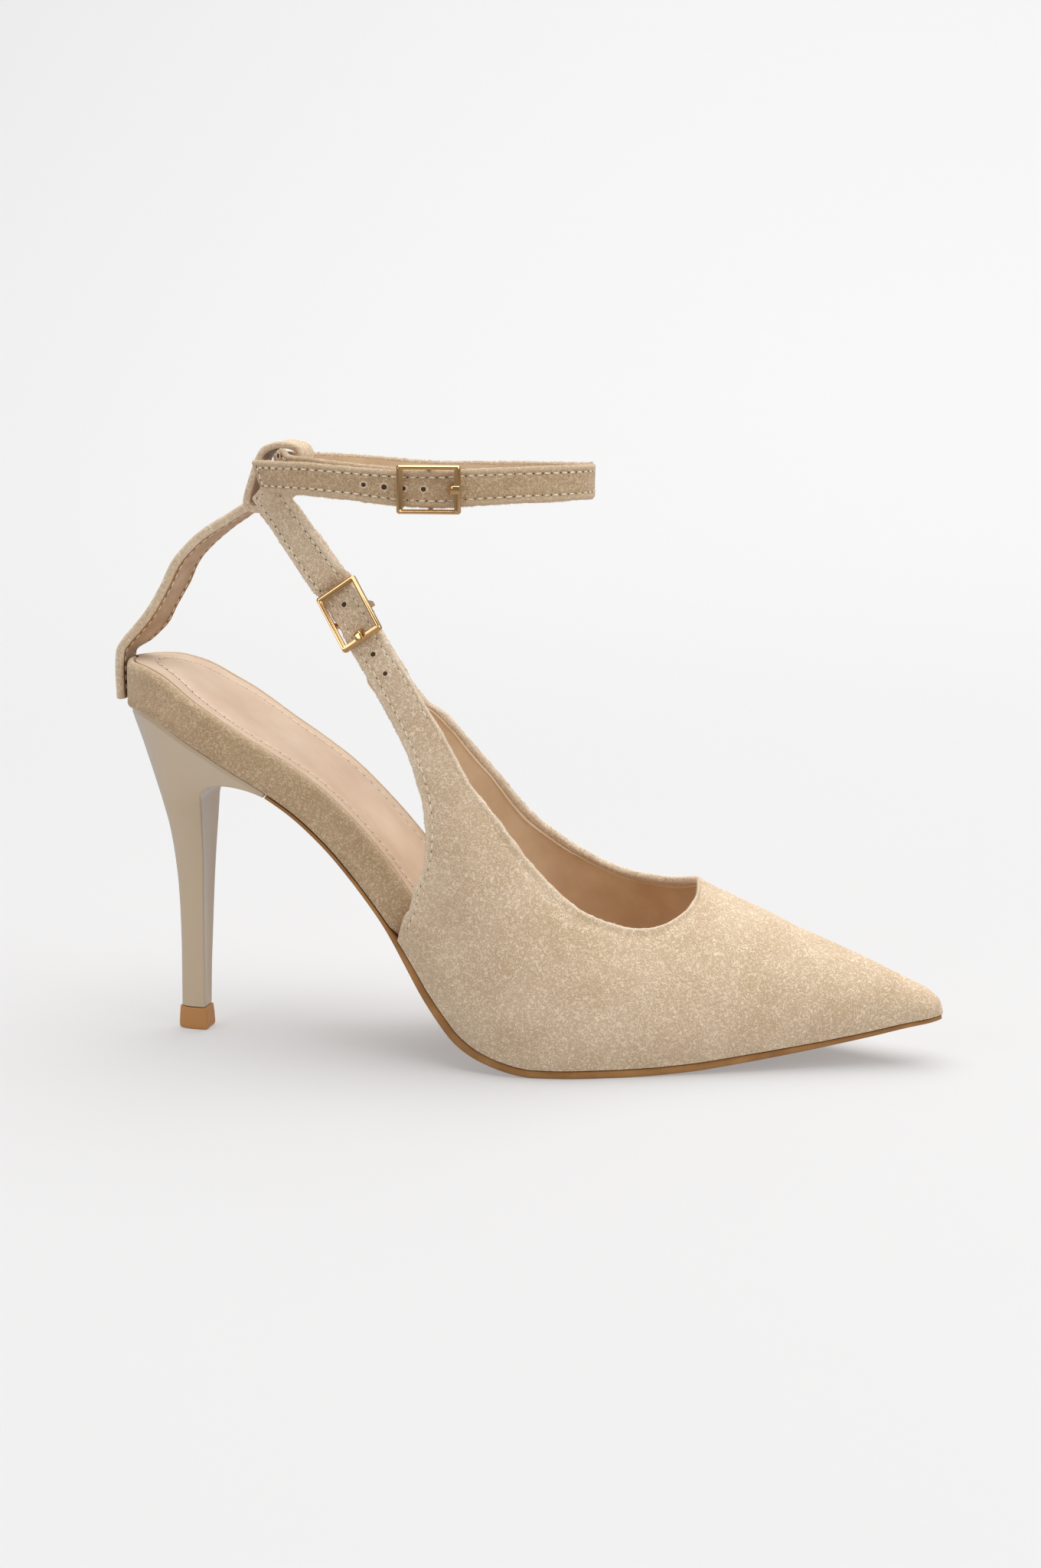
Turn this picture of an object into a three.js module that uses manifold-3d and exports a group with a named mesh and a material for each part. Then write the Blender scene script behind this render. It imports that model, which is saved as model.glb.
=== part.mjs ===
// A right shoe: a pointed pump on a stiletto heel, open at the back, with a strap round the ankle.
// Millimetres, +Z up, +X towards the toe, +Y towards the inner side of the foot.
// The origin is on the floor at the centre of the heel tip's underside.
import * as THREE from "three";
import { mergeVertices } from "three/addons/utils/BufferGeometryUtils.js";
import Module from "manifold-3d";

const wasm = await Module();
wasm.setup();

// Driving sizes of the shoe
const seatBack = -16.6; // back of the footbed, from the heel tip's centre
const shoeLength = 225.2; // back of the footbed to the toe point, along the floor
const ballWidth = 72; // full outline at the ball
const seatHeight = 92.2; // underside of the footbed at its back
const toeSpring = 11.2; // rise of the toe point above the tread
const instepRise = 44.1; // top of the vamp at the throat, above the sole's edge
const clearance = 0.3; // between pieces that meet
const wall = 1.8; // suede and lining together
const seatRound = 25; // rounding of the seat in plan
const toeRound = 4.5; // rounding of the toe point in plan

// Sizes of the sole, the footbed and the sock
const soleThickness = 2.1;
const soleInset = 0.4; // the sole's edge, inside the upper's
const soleChamfer = 0.5;
const footbedThickness = 10.4; // along the arch, with its padding
const footbedRounding = 3;
const footbedShort = 17; // the footbed's end, behind the toe point
const sockThickness = 1.2;
const sockInset = 2.2; // the sock's edge, inside the footbed's

// Sizes of the heel and its tip
const tipHeight = 6.2;
const tipLength = 9.2;
const tipWidth = 7.8;
const stemLength = 7.5; // at the tip
const stemWidth = 7;
const heelInset = 1.2; // the heel's seat, inside the footbed
const heelBackInset = 3; // and at its back
const lipReach = 28; // front end of the heel's lip, from the heel tip's centre
const lipThickness = 1.2;
const stemTop = 66; // where the stem starts to flare

// Sizes of the straps
const strapThickness = 1.8;
const sideStrapWidth = 10.8;
const farStrapWidth = 9.4;
const ankleStrapWidth = 9.3;
const stayWidth = 12;
const stayThickness = 2.4;
const ankleRise = 61.4; // the ankle strap's middle, above the seat
const ankleCentre = 66; // centre of the ankle strap's oval
const ankleHalfLength = 46.5;
const ankleHalfWidth = 23;
const ankleHeight = seatHeight + ankleRise;
const junctionX = 26.7; // centre of the side strap's upper end
const junctionY = 10.9;
const junctionDrop = 3.9; // below the ankle strap's middle
const junctionZ = ankleHeight - junctionDrop;
const stayDrop = 5.1; // the stay's top, below the ankle strap's middle
const stayOverSeat = 1.3; // the stay's foot
const loopWall = 1.9;

// Sizes of the buckles
const buckleLength = 16.9;
const buckleWidth = 12.7;
const buckleEndBar = 1.7;
const buckleRail = 1.2;
const buckleThickness = 1.7;
const frameLift = 0.55; // the frame's underside over the strap
const centreBar = 1.5;
const prongWidth = 2.2;
const sideBuckleTurned = -0.1; // radians, on its strap

const halfBall = ballWidth / 2;
const treadTop = soleThickness + clearance;
const toeX = seatBack + shoeLength;
const bendFrom = seatBack + 0.33 * shoeLength;
const bendTo = seatBack + 0.56 * shoeLength;

// The sole's edge line: half widths as shares of half the ball width, the height above the tread as shares
// of the seat's height (arch) and of the toe spring (spring). "at" is the share of the shoe's length.
const plan = [
  { at: 0, lateral: 0.683, medial: 0.683 },
  { at: 0.1, lateral: 0.722, medial: 0.722 },
  { at: 0.14, lateral: 0.711, medial: 0.692 },
  { at: 0.207, lateral: 0.683, medial: 0.622 },
  { at: 0.274, lateral: 0.672, medial: 0.572 },
  { at: 0.34, lateral: 0.722, medial: 0.583 },
  { at: 0.407, lateral: 0.844, medial: 0.694 },
  { at: 0.473, lateral: 0.981, medial: 0.861 },
  { at: 0.518, lateral: 1.028, medial: 0.944 },
  { at: 0.562, lateral: 1.011, medial: 0.983 },
  { at: 0.629, lateral: 0.9, medial: 0.928 },
  { at: 0.695, lateral: 0.75, medial: 0.797 },
  { at: 0.762, lateral: 0.6, medial: 0.639 },
  { at: 0.829, lateral: 0.447, medial: 0.481 },
  { at: 0.895, lateral: 0.294, medial: 0.322 },
  { at: 0.949, lateral: 0.183, medial: 0.194 },
  { at: 1, lateral: 0.089, medial: 0.089 },
];
const profile = [
  { at: 0, arch: 1, spring: 0 },
  { at: 0.029, arch: 1, spring: 0 },
  { at: 0.05, arch: 0.99, spring: 0 },
  { at: 0.082, arch: 0.951, spring: 0 },
  { at: 0.102, arch: 0.921, spring: 0 },
  { at: 0.157, arch: 0.833, spring: 0 },
  { at: 0.194, arch: 0.777, spring: 0 },
  { at: 0.231, arch: 0.714, spring: 0 },
  { at: 0.267, arch: 0.633, spring: 0 },
  { at: 0.306, arch: 0.526, spring: 0 },
  { at: 0.344, arch: 0.408, spring: 0 },
  { at: 0.383, arch: 0.27, spring: 0 },
  { at: 0.402, arch: 0.198, spring: 0 },
  { at: 0.423, arch: 0.131, spring: 0 },
  { at: 0.442, arch: 0.081, spring: 0 },
  { at: 0.462, arch: 0.049, spring: 0 },
  { at: 0.481, arch: 0.029, spring: 0 },
  { at: 0.5, arch: 0.0145, spring: 0 },
  { at: 0.518, arch: 0.0045, spring: 0 },
  { at: 0.532, arch: 0, spring: 0 },
  { at: 0.625, arch: 0, spring: 0 },
  { at: 0.66, arch: 0, spring: 0.012 },
  { at: 0.711, arch: 0, spring: 0.071 },
  { at: 0.744, arch: 0, spring: 0.152 },
  { at: 0.798, arch: 0, spring: 0.295 },
  { at: 0.85, arch: 0, spring: 0.446 },
  { at: 0.917, arch: 0, spring: 0.679 },
  { at: 0.953, arch: 0, spring: 0.83 },
  { at: 1, arch: 0, spring: 1 },
];

// The last's cross-sections: "rise" is the ridge above the sole's edge and "belly" the height of the widest
// point, as shares of the instep's rise. "bulge" is how far the side swells past the sole's edge and "ridge"
// how far the ridge leans inwards, as shares of half the ball width. "round" is the section's exponent.
const last = [
  { at: 0.251, rise: 3.456, belly: 0.5, bulge: 0.069, round: 2.2, ridge: 0.083 },
  { at: 0.34, rise: 3.399, belly: 0.42, bulge: 0.08, round: 2.2, ridge: 0.083 },
  { at: 0.407, rise: 2.975, belly: 0.363, bulge: 0.089, round: 2.2, ridge: 0.083 },
  { at: 0.465, rise: 2.299, belly: 0.325, bulge: 0.087, round: 2.2, ridge: 0.083 },
  { at: 0.518, rise: 1.796, belly: 0.295, bulge: 0.083, round: 2.2, ridge: 0.083 },
  { at: 0.584, rise: 1.329, belly: 0.26, bulge: 0.073, round: 2.1, ridge: 0.083 },
  { at: 0.642, rise: 1.146, belly: 0.227, bulge: 0.061, round: 1.95, ridge: 0.083 },
  { at: 0.704, rise: 1, belly: 0.195, bulge: 0.054, round: 1.88, ridge: 0.083 },
  { at: 0.749, rise: 0.871, belly: 0.175, bulge: 0.049, round: 1.85, ridge: 0.075 },
  { at: 0.822, rise: 0.658, belly: 0.136, bulge: 0.038, round: 1.85, ridge: 0.055 },
  { at: 0.895, rise: 0.448, belly: 0.105, bulge: 0.031, round: 1.86, ridge: 0.033 },
  { at: 0.933, rise: 0.325, belly: 0.085, bulge: 0.026, round: 1.9, ridge: 0.022 },
  { at: 0.971, rise: 0.2, belly: 0.06, bulge: 0.02, round: 1.95, ridge: 0.01 },
  { at: 0.989, rise: 0.128, belly: 0.045, bulge: 0.015, round: 2, ridge: 0.004 },
  { at: 0.996, rise: 0.086, belly: 0.03, bulge: 0.012, round: 2, ridge: 0.001 },
  { at: 1, rise: 0.009, belly: 0.002, bulge: 0.011, round: 2, ridge: 0 },
];

// The upper's ribs on each side, from the strap's root forwards to the middle of the throat. "topAt" and
// "topUp" place a rib's end on the topline, "footAt" and "footUp" its end on the rear edge or the sole's
// edge. "Up" runs over the section from the sole's edge (0) to the ridge (1).
const lateralRibs = [
  { topAt: 0.379, topUp: 0.405, footAt: 0.327, footUp: 0.314 },
  { topAt: 0.404, topUp: 0.429, footAt: 0.348, footUp: 0.309 },
  { topAt: 0.423, topUp: 0.449, footAt: 0.367, footUp: 0.312 },
  { topAt: 0.441, topUp: 0.467, footAt: 0.385, footUp: 0.311 },
  { topAt: 0.46, topUp: 0.486, footAt: 0.398, footUp: 0.297 },
  { topAt: 0.478, topUp: 0.505, footAt: 0.403, footUp: 0.268 },
  { topAt: 0.496, topUp: 0.516, footAt: 0.402, footUp: 0.24 },
  { topAt: 0.514, topUp: 0.52, footAt: 0.397, footUp: 0.21 },
  { topAt: 0.532, topUp: 0.521, footAt: 0.386, footUp: 0.172 },
  { topAt: 0.55, topUp: 0.523, footAt: 0.375, footUp: 0.11 },
  { topAt: 0.568, topUp: 0.525, footAt: 0.362, footUp: 0 },
  { topAt: 0.58, topUp: 0.525, footAt: 0.388, footUp: 0 },
  { topAt: 0.591, topUp: 0.526, footAt: 0.414, footUp: 0 },
  { topAt: 0.602, topUp: 0.528, footAt: 0.44, footUp: 0 },
  { topAt: 0.612, topUp: 0.53, footAt: 0.466, footUp: 0 },
  { topAt: 0.623, topUp: 0.534, footAt: 0.494, footUp: 0 },
  { topAt: 0.636, topUp: 0.54, footAt: 0.535, footUp: 0 },
  { topAt: 0.653, topUp: 0.557, footAt: 0.58, footUp: 0 },
  { topAt: 0.67, topUp: 0.585, footAt: 0.622, footUp: 0 },
  { topAt: 0.686, topUp: 0.634, footAt: 0.662, footUp: 0 },
  { topAt: 0.701, topUp: 0.721, footAt: 0.698, footUp: 0 },
  { topAt: 0.707, topUp: 0.84, footAt: 0.722, footUp: 0 },
  { topAt: 0.703, topUp: 1, footAt: 0.74, footUp: 0 },
];
const medialRibs = [
  { topAt: 0.332, topUp: 0.285, footAt: 0.276, footUp: 0.22 },
  { topAt: 0.351, topUp: 0.291, footAt: 0.291, footUp: 0.219 },
  { topAt: 0.37, topUp: 0.312, footAt: 0.307, footUp: 0.216 },
  { topAt: 0.388, topUp: 0.33, footAt: 0.32, footUp: 0.208 },
  { topAt: 0.407, topUp: 0.349, footAt: 0.331, footUp: 0.197 },
  { topAt: 0.425, topUp: 0.367, footAt: 0.34, footUp: 0.183 },
  { topAt: 0.444, topUp: 0.389, footAt: 0.346, footUp: 0.167 },
  { topAt: 0.463, topUp: 0.402, footAt: 0.349, footUp: 0.138 },
  { topAt: 0.482, topUp: 0.414, footAt: 0.349, footUp: 0.085 },
  { topAt: 0.51, topUp: 0.439, footAt: 0.349, footUp: 0.041 },
  { topAt: 0.539, topUp: 0.468, footAt: 0.349, footUp: 0 },
  { topAt: 0.551, topUp: 0.484, footAt: 0.376, footUp: 0 },
  { topAt: 0.564, topUp: 0.502, footAt: 0.404, footUp: 0 },
  { topAt: 0.577, topUp: 0.525, footAt: 0.432, footUp: 0 },
  { topAt: 0.59, topUp: 0.542, footAt: 0.46, footUp: 0 },
  { topAt: 0.604, topUp: 0.562, footAt: 0.49, footUp: 0 },
  { topAt: 0.622, topUp: 0.596, footAt: 0.53, footUp: 0 },
  { topAt: 0.643, topUp: 0.639, footAt: 0.575, footUp: 0 },
  { topAt: 0.664, topUp: 0.691, footAt: 0.618, footUp: 0 },
  { topAt: 0.684, topUp: 0.768, footAt: 0.66, footUp: 0 },
  { topAt: 0.697, topUp: 0.855, footAt: 0.697, footUp: 0 },
  { topAt: 0.702, topUp: 0.925, footAt: 0.722, footUp: 0 },
  { topAt: 0.703, topUp: 1, footAt: 0.74, footUp: 0 },
];

// A smooth curve through a table's rows that never overshoots them.
function column(rows, name, key = "at") {
  const xs = rows.map((row) => row[key]);
  const ys = rows.map((row) => row[name]);
  const end = xs.length - 1;
  const rise = xs.slice(1).map((x, i) => (ys[i + 1] - ys[i]) / (x - xs[i]));
  const slope = xs.map((x, i) => {
    if (i === 0) return rise[0];
    if (i === end) return rise[end - 1];
    if (rise[i - 1] * rise[i] <= 0) return 0;
    const before = x - xs[i - 1];
    const after = xs[i + 1] - x;
    const first = 2 * after + before;
    const second = after + 2 * before;
    return (first + second) / (first / rise[i - 1] + second / rise[i]);
  });
  return (at) => {
    const x = THREE.MathUtils.clamp(at, xs[0], xs[end]);
    let i = 0;
    while (i < end - 1 && x > xs[i + 1]) i += 1;
    const span = xs[i + 1] - xs[i];
    const t = (x - xs[i]) / span;
    const u = 1 - t;
    const values = (1 + 2 * t) * u * u * ys[i] + t * t * (3 - 2 * t) * ys[i + 1];
    return values + t * u * span * (u * slope[i] - t * slope[i + 1]);
  };
}

const shareOf = (x) => (x - seatBack) / shoeLength;
const placeOf = (at) => seatBack + at * shoeLength;

const lateralHalf = column(plan, "lateral");
const medialHalf = column(plan, "medial");
const archOf = column(profile, "arch");
const springOf = column(profile, "spring");
const section = {
  rise: column(last, "rise"),
  belly: column(last, "belly"),
  bulge: column(last, "bulge"),
  round: column(last, "round"),
  ridge: column(last, "ridge"),
};

// The share of full width that a round end leaves at a distance inside it.
function roundEnd(distance, radius) {
  const left = 1 - THREE.MathUtils.clamp(distance / radius, 0, 1);
  return Math.sqrt(1 - left * left);
}

// Half width of the sole's outline on one side, with an inset all round.
function outline(x, side, inset = 0) {
  const at = shareOf(x);
  const share = side < 0 ? lateralHalf(at) : medialHalf(at);
  const ends = roundEnd(x - seatBack - inset, seatRound) * roundEnd(toeX - inset - x, toeRound);
  return Math.max(share * halfBall - inset, 0) * ends;
}

// Height of the sole's edge line, where the upper and the footbed meet the sole.
function edgeHeight(x) {
  const at = shareOf(x);
  return treadTop + archOf(at) * (seatHeight - treadTop) + springOf(at) * toeSpring;
}

// The unit vector square to the edge line, in the upright plane along the shoe.
function edgeNormal(x) {
  const step = 0.5;
  const slope = (edgeHeight(x + step) - edgeHeight(x - step)) / (2 * step);
  return new THREE.Vector3(-slope, 0, 1).normalize();
}

// Collects faces and gives one closed geometry.
class Skin {
  constructor() {
    this.corners = [];
  }
  triangle(a, b, c) {
    this.corners.push(...a, ...b, ...c);
  }
  quad(a, b, c, d) {
    this.triangle(a, b, c);
    this.triangle(a, c, d);
  }
  // Faces between two rows of points that run the same way.
  band(low, high) {
    for (let i = 0; i + 1 < low.length; i += 1) this.quad(low[i], low[i + 1], high[i + 1], high[i]);
  }
  geometry() {
    const raw = new THREE.BufferGeometry();
    raw.setAttribute("position", new THREE.Float32BufferAttribute(this.corners, 3));
    const merged = mergeVertices(raw, 1e-3);
    const kept = [];
    const index = merged.index.array;
    for (let i = 0; i < index.length; i += 3) {
      const [a, b, c] = index.slice(i, i + 3);
      if (a !== b && b !== c && c !== a) kept.push(a, b, c);
    }
    merged.setIndex(kept);
    return merged;
  }
}

// A closed loft through rings with as many points each, capped by strips between a ring's two halves.
// Points run anticlockwise seen from the end that the rings run towards.
function loft(rings) {
  const skin = new Skin();
  const closed = rings.map((ring) => [...ring, ring[0]]);
  for (let i = 0; i + 1 < closed.length; i += 1) skin.band(closed[i], closed[i + 1]);
  const cap = (ring) => {
    const count = ring.length;
    for (let k = 0; k < count / 2 - 1; k += 1) {
      skin.quad(ring[k + 1], ring[k], ring[count - 1 - k], ring[count - 2 - k]);
    }
  };
  cap(rings[0]);
  cap([...rings[rings.length - 1]].reverse());
  return skin.geometry();
}

// manifold-3d solids for the few pieces that are joined or cut.
function solidOf(geometry) {
  const bare = new THREE.BufferGeometry();
  const source = geometry.index ? geometry.toNonIndexed() : geometry;
  bare.setAttribute("position", source.getAttribute("position").clone());
  const merged = mergeVertices(bare, 1e-4);
  const mesh = new wasm.Mesh({
    numProp: 3,
    vertProperties: new Float32Array(merged.attributes.position.array),
    triVerts: new Uint32Array(merged.index.array),
  });
  return new wasm.Manifold(mesh);
}

function geometryOf(solid) {
  const mesh = solid.getMesh();
  const geometry = new THREE.BufferGeometry();
  geometry.setAttribute("position", new THREE.BufferAttribute(mesh.vertProperties, 3));
  geometry.setIndex(new THREE.BufferAttribute(mesh.triVerts, 1));
  return geometry;
}

const materials = {
  suede: { color: 0xcdb698, roughness: 0.95, metalness: 0 },
  sock: { color: 0xdcc2a6, roughness: 0.6, metalness: 0 },
  resin: { color: 0xa57d4a, roughness: 0.55, metalness: 0 },
  lacquer: { color: 0xb3a58f, roughness: 0.18, metalness: 0 },
  rubber: { color: 0xb5824e, roughness: 0.5, metalness: 0 },
  gold: { color: 0xd9b477, roughness: 0.2, metalness: 1 },
};

function piece(name, geometry, material) {
  geometry.computeVertexNormals();
  const mesh = new THREE.Mesh(geometry, new THREE.MeshStandardMaterial(material));
  mesh.name = name;
  return mesh;
}

// Places along the shoe, closer together at the ends and where the arch bends into the tread.
function stations(from, to) {
  const places = [from];
  let x = from;
  while (x < to) {
    const nearest = Math.min(x - from, to - x);
    const widest = x > bendFrom && x < bendTo ? 3.2 : 6;
    x += Math.min(widest, 0.5 + 0.45 * nearest);
    if (to - x > 0.3) places.push(x);
  }
  return [...places, to];
}

// A point over the edge line, measured along the line's normal.
function overEdge(x, y, height) {
  const normal = edgeNormal(x);
  return [x + normal.x * height, y, edgeHeight(x) + normal.z * height];
}

// The thickness of the footbed: full along the arch, more at the back of the seat, thin in the forepart.
const footbedDepth = column(
  [
    { at: 0, share: 1.25 },
    { at: 0.03, share: 1.18 },
    { at: 0.09, share: 1 },
    { at: 0.3, share: 1 },
    { at: 0.36, share: 0.93 },
    { at: 0.42, share: 0.72 },
    { at: 0.5, share: 0.46 },
    { at: 1, share: 0.42 },
  ],
  "share",
);

// How far the footbed lies inside the outline: nothing behind the upper, its wall and a clearance within.
function footbedInset(x, side) {
  const at = side < 0 ? 0.349 : 0.334;
  return THREE.MathUtils.smoothstep(shareOf(x), at, at + 0.012) * (wall + 3 * clearance);
}

const boardPlaces = stations(seatBack + 0.1, toeX - footbedShort);

function footbed() {
  const rings = boardPlaces.map((x) => {
    const depth = footbedDepth(shareOf(x)) * footbedThickness - sockThickness - clearance;
    const widths = [outline(x, -1, footbedInset(x, -1)), outline(x, 1, footbedInset(x, 1))];
    const corner = Math.min(footbedRounding, depth / 2, ...widths.map((width) => width / 2));
    const half = (side, width) => [
      [side * (width - 0.2 * corner), 0],
      [side * width, 0.3 * corner],
      [side * width, depth - corner],
      [side * (width - 0.13 * corner), depth - 0.5 * corner],
      [side * (width - 0.5 * corner), depth - 0.13 * corner],
      [side * (width - corner), depth],
    ];
    const spots = [...half(-1, widths[0]), ...half(1, widths[1]).reverse()];
    return spots.map(([y, up]) => overEdge(x, y, up)).reverse();
  });
  return loft(rings);
}

function sock() {
  const from = seatBack + sockInset;
  const to = toeX - footbedShort - sockInset;
  const places = [from, from + 0.4, ...boardPlaces.filter((x) => x > from + 0.8 && x < to - 0.8), to - 0.4, to];
  const edge = 0.3;
  const rings = places.map((x) => {
    const top = footbedDepth(shareOf(x)) * footbedThickness;
    const right = outline(x, -1, footbedInset(x, -1) + sockInset);
    const left = outline(x, 1, footbedInset(x, 1) + sockInset);
    const spots = [
      [-right, top - sockThickness],
      [-right, top - edge],
      [Math.min(edge - right, 0), top],
      [Math.max(left - edge, 0), top],
      [left, top - edge],
      [left, top - sockThickness],
    ];
    return spots.map(([y, up]) => overEdge(x, y, up)).reverse();
  });
  return loft(rings);
}

function outsole() {
  const start = lipReach + 0.5;
  const thicken = column(
    [
      { at: shareOf(start), share: 0.42 },
      { at: 0.34, share: 0.5 },
      { at: 0.39, share: 0.95 },
      { at: 0.45, share: 1.15 },
      { at: 0.53, share: 1 },
      { at: 0.72, share: 1 },
      { at: 0.86, share: 0.75 },
      { at: 1, share: 0.5 },
    ],
    "share",
  );
  const rings = stations(start, toeX - soleInset - 0.1).map((x) => {
    const depth = soleThickness * thicken(shareOf(x));
    const left = outline(x, 1, soleInset);
    const right = outline(x, -1, soleInset);
    const bevel = Math.min(soleChamfer, left / 3, right / 3, depth / 3);
    const ring = [
      [-right, 0],
      [left, 0],
      [left, bevel - depth],
      [left - bevel, -depth],
      [-right + bevel, -depth],
      [-right, bevel - depth],
    ];
    return ring.map(([y, up]) => overEdge(x, y, up - clearance));
  });
  return loft(rings.map((ring) => [ring[3], ring[2], ring[1], ring[0], ring[5], ring[4]]));
}

// The heel: half oval rings up the stem, then a flare that turns into the seat and its lip.
const stem = [
  { up: 0, back: 0.493, front: 0.507, half: 0.486 },
  { up: 0.16, back: 0.48, front: 0.527, half: 0.536 },
  { up: 0.31, back: 0.467, front: 0.56, half: 0.621 },
  { up: 0.45, back: 0.48, front: 0.593, half: 0.714 },
  { up: 0.58, back: 0.52, front: 0.627, half: 0.8 },
  { up: 0.73, back: 0.633, front: 0.673, half: 0.93 },
  { up: 0.86, back: 0.787, front: 0.707, half: 1.13 },
  { up: 1, back: 1.067, front: 0.74, half: 1.343 },
];
const ovalPower = 2.4;
const heelSteps = 24; // round the heel
const flareSteps = 9;

// One point of a half oval: turn 0 is its near front corner, 1 its far front corner.
function halfOval(back, front, half, turn) {
  const angle = Math.PI * turn;
  const across = Math.cos(angle);
  const deep = Math.sin(angle) ** (2 / ovalPower);
  const wide = Math.sign(across) * Math.abs(across) ** (2 / ovalPower);
  return [front - (front - back) * deep, -half * wide];
}

function turns(count) {
  return Array.from({ length: count + 1 }, (_, k) => k / count);
}

// The seat's outline that the heel meets, at a depth under the footbed.
function seatPoint(turn, depth) {
  const deep = Math.sin(Math.PI * turn) ** (2 / ovalPower);
  const back = seatBack + heelBackInset;
  const x = lipReach - (lipReach - back) * deep;
  const side = turn < 0.5 ? -1 : 1;
  const width = turn === 0.5 ? 0 : outline(x, side, heelInset);
  return new THREE.Vector3(...overEdge(x, side * width, -clearance - depth));
}

function heel() {
  const stemBase = tipHeight + clearance;
  const backAt = column(stem, "back", "up");
  const frontAt = column(stem, "front", "up");
  const halfAt = column(stem, "half", "up");
  const stemRing = (up) =>
    turns(heelSteps).map((turn) => {
      const [x, y] = halfOval(-backAt(up) * stemLength, frontAt(up) * stemLength, halfAt(up) * stemWidth, turn);
      return [x, y, stemBase + (stemTop - stemBase) * up];
    });
  const topRing = stemRing(1);
  const flareRing = (t) =>
    turns(heelSteps).map((turn, k) => {
      const round = Math.sin(Math.PI * turn) ** 2;
      const across = Math.cos(Math.PI * turn);
      const start = new THREE.Vector3(...topRing[k]);
      const end = seatPoint(turn, lipThickness);
      const leave = new THREE.Vector3(-4.5 * round, -12 * across, 22 - 5 * round);
      const arrive = new THREE.Vector3(20 - 24 * round, -8 * Math.sin(2 * Math.PI * turn), -9 + 22 * round);
      const u = 1 - t;
      return start
        .multiplyScalar((1 + 2 * t) * u * u)
        .addScaledVector(leave, t * u * u)
        .addScaledVector(end, t * t * (3 - 2 * t))
        .addScaledVector(arrive, -t * t * u)
        .toArray();
    });
  const rings = stem.map((row) => stemRing(row.up));
  for (let i = 1; i <= flareSteps; i += 1) rings.push(flareRing(i / flareSteps));
  rings.push(turns(heelSteps).map((turn) => seatPoint(turn, 0).toArray()));
  return halfOvalLoft(rings);
}

// A closed solid through rings that start and end at the two front corners.
function halfOvalLoft(rings) {
  const skin = new Skin();
  for (let i = 0; i + 1 < rings.length; i += 1) {
    const low = [...rings[i]].reverse();
    const high = [...rings[i + 1]].reverse();
    skin.band([...low, low[0]], [...high, high[0]]);
  }
  const cap = (ring, flip) => {
    const count = ring.length - 1;
    for (let k = 0; k < count / 2; k += 1) {
      const corners = [ring[k], ring[count - k], ring[count - k - 1], ring[k + 1]];
      if (flip) corners.reverse();
      skin.quad(...corners);
    }
  };
  cap(rings[0], true);
  cap(rings[rings.length - 1], false);
  return skin.geometry();
}

function heelTip() {
  const chamfer = 0.4;
  const rows = [
    { up: 0, grow: 1 - (2 * chamfer) / tipLength },
    { up: chamfer / tipHeight, grow: 1 },
    { up: 0.93, grow: 0.93 },
    { up: 1, grow: 0.91 },
  ];
  const rings = rows.map(({ up, grow }) =>
    turns(16).map((turn) => {
      const [x, y] = halfOval((-tipLength / 2) * grow, (tipLength / 2) * grow, (tipWidth / 2) * grow, turn);
      return [x, y, up * tipHeight];
    }),
  );
  return halfOvalLoft(rings);
}

// A point of the upper. "up" runs over the section from the sole's edge to the ridge; side is -1 for the
// outer side of the foot and 1 for the inner side; inset is 0 outside and the wall inside.
function lastPoint(at, up, side, inset) {
  const throatAt = lateralRibs[lateralRibs.length - 1].topAt;
  const forward = THREE.MathUtils.clamp((at - throatAt) / (1 - throatAt), 0, 1);
  const tipInset = 1.8 * inset;
  const x = placeOf(at) - tipInset * forward * forward;
  const share = side < 0 ? lateralHalf(at) : medialHalf(at);
  const ends = roundEnd(toeX - tipInset - x, toeRound);
  const width = Math.max(share * halfBall - inset, 0) * ends;
  const bulge = section.bulge(at) * halfBall * ends;
  const rise = Math.max(section.rise(at) * instepRise - 1.1 * inset, 0.3);
  const belly = Math.min(section.belly(at) * instepRise, 0.8 * rise);
  const ridge = section.ridge(at) * halfBall * ends;
  const power = 2 / section.round(at);
  const bellyShare = 0.16;
  const low = THREE.MathUtils.clamp(up / bellyShare, 0, 1);
  const angle = (THREE.MathUtils.clamp((up - bellyShare) / (1 - bellyShare), 0, 1) * Math.PI) / 2;
  const swell = width + bulge * Math.sin((low * Math.PI) / 2);
  const across = Math.cos(angle) < 1e-6 ? 0 : Math.cos(angle) ** power;
  const y = ridge + (side * swell - ridge) * across;
  const z = edgeHeight(x) + belly * low + (rise - belly) * Math.sin(angle) ** power;
  return [x, y, z];
}

const upperSteps = 10; // across a rib
const strapSteps = 10; // along a strap
const toeRows = 13;

// A rib as pairs of points, outside and inside, from its foot to its top.
function ribOf(row, side) {
  return Array.from({ length: upperSteps + 1 }, (_, k) => {
    const share = k / upperSteps;
    const at = THREE.MathUtils.lerp(row.footAt, row.topAt, share);
    const up = THREE.MathUtils.lerp(row.footUp, row.topUp, share);
    return { outside: lastPoint(at, up, side, 0), inside: lastPoint(at, up, side, wall) };
  });
}

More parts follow.
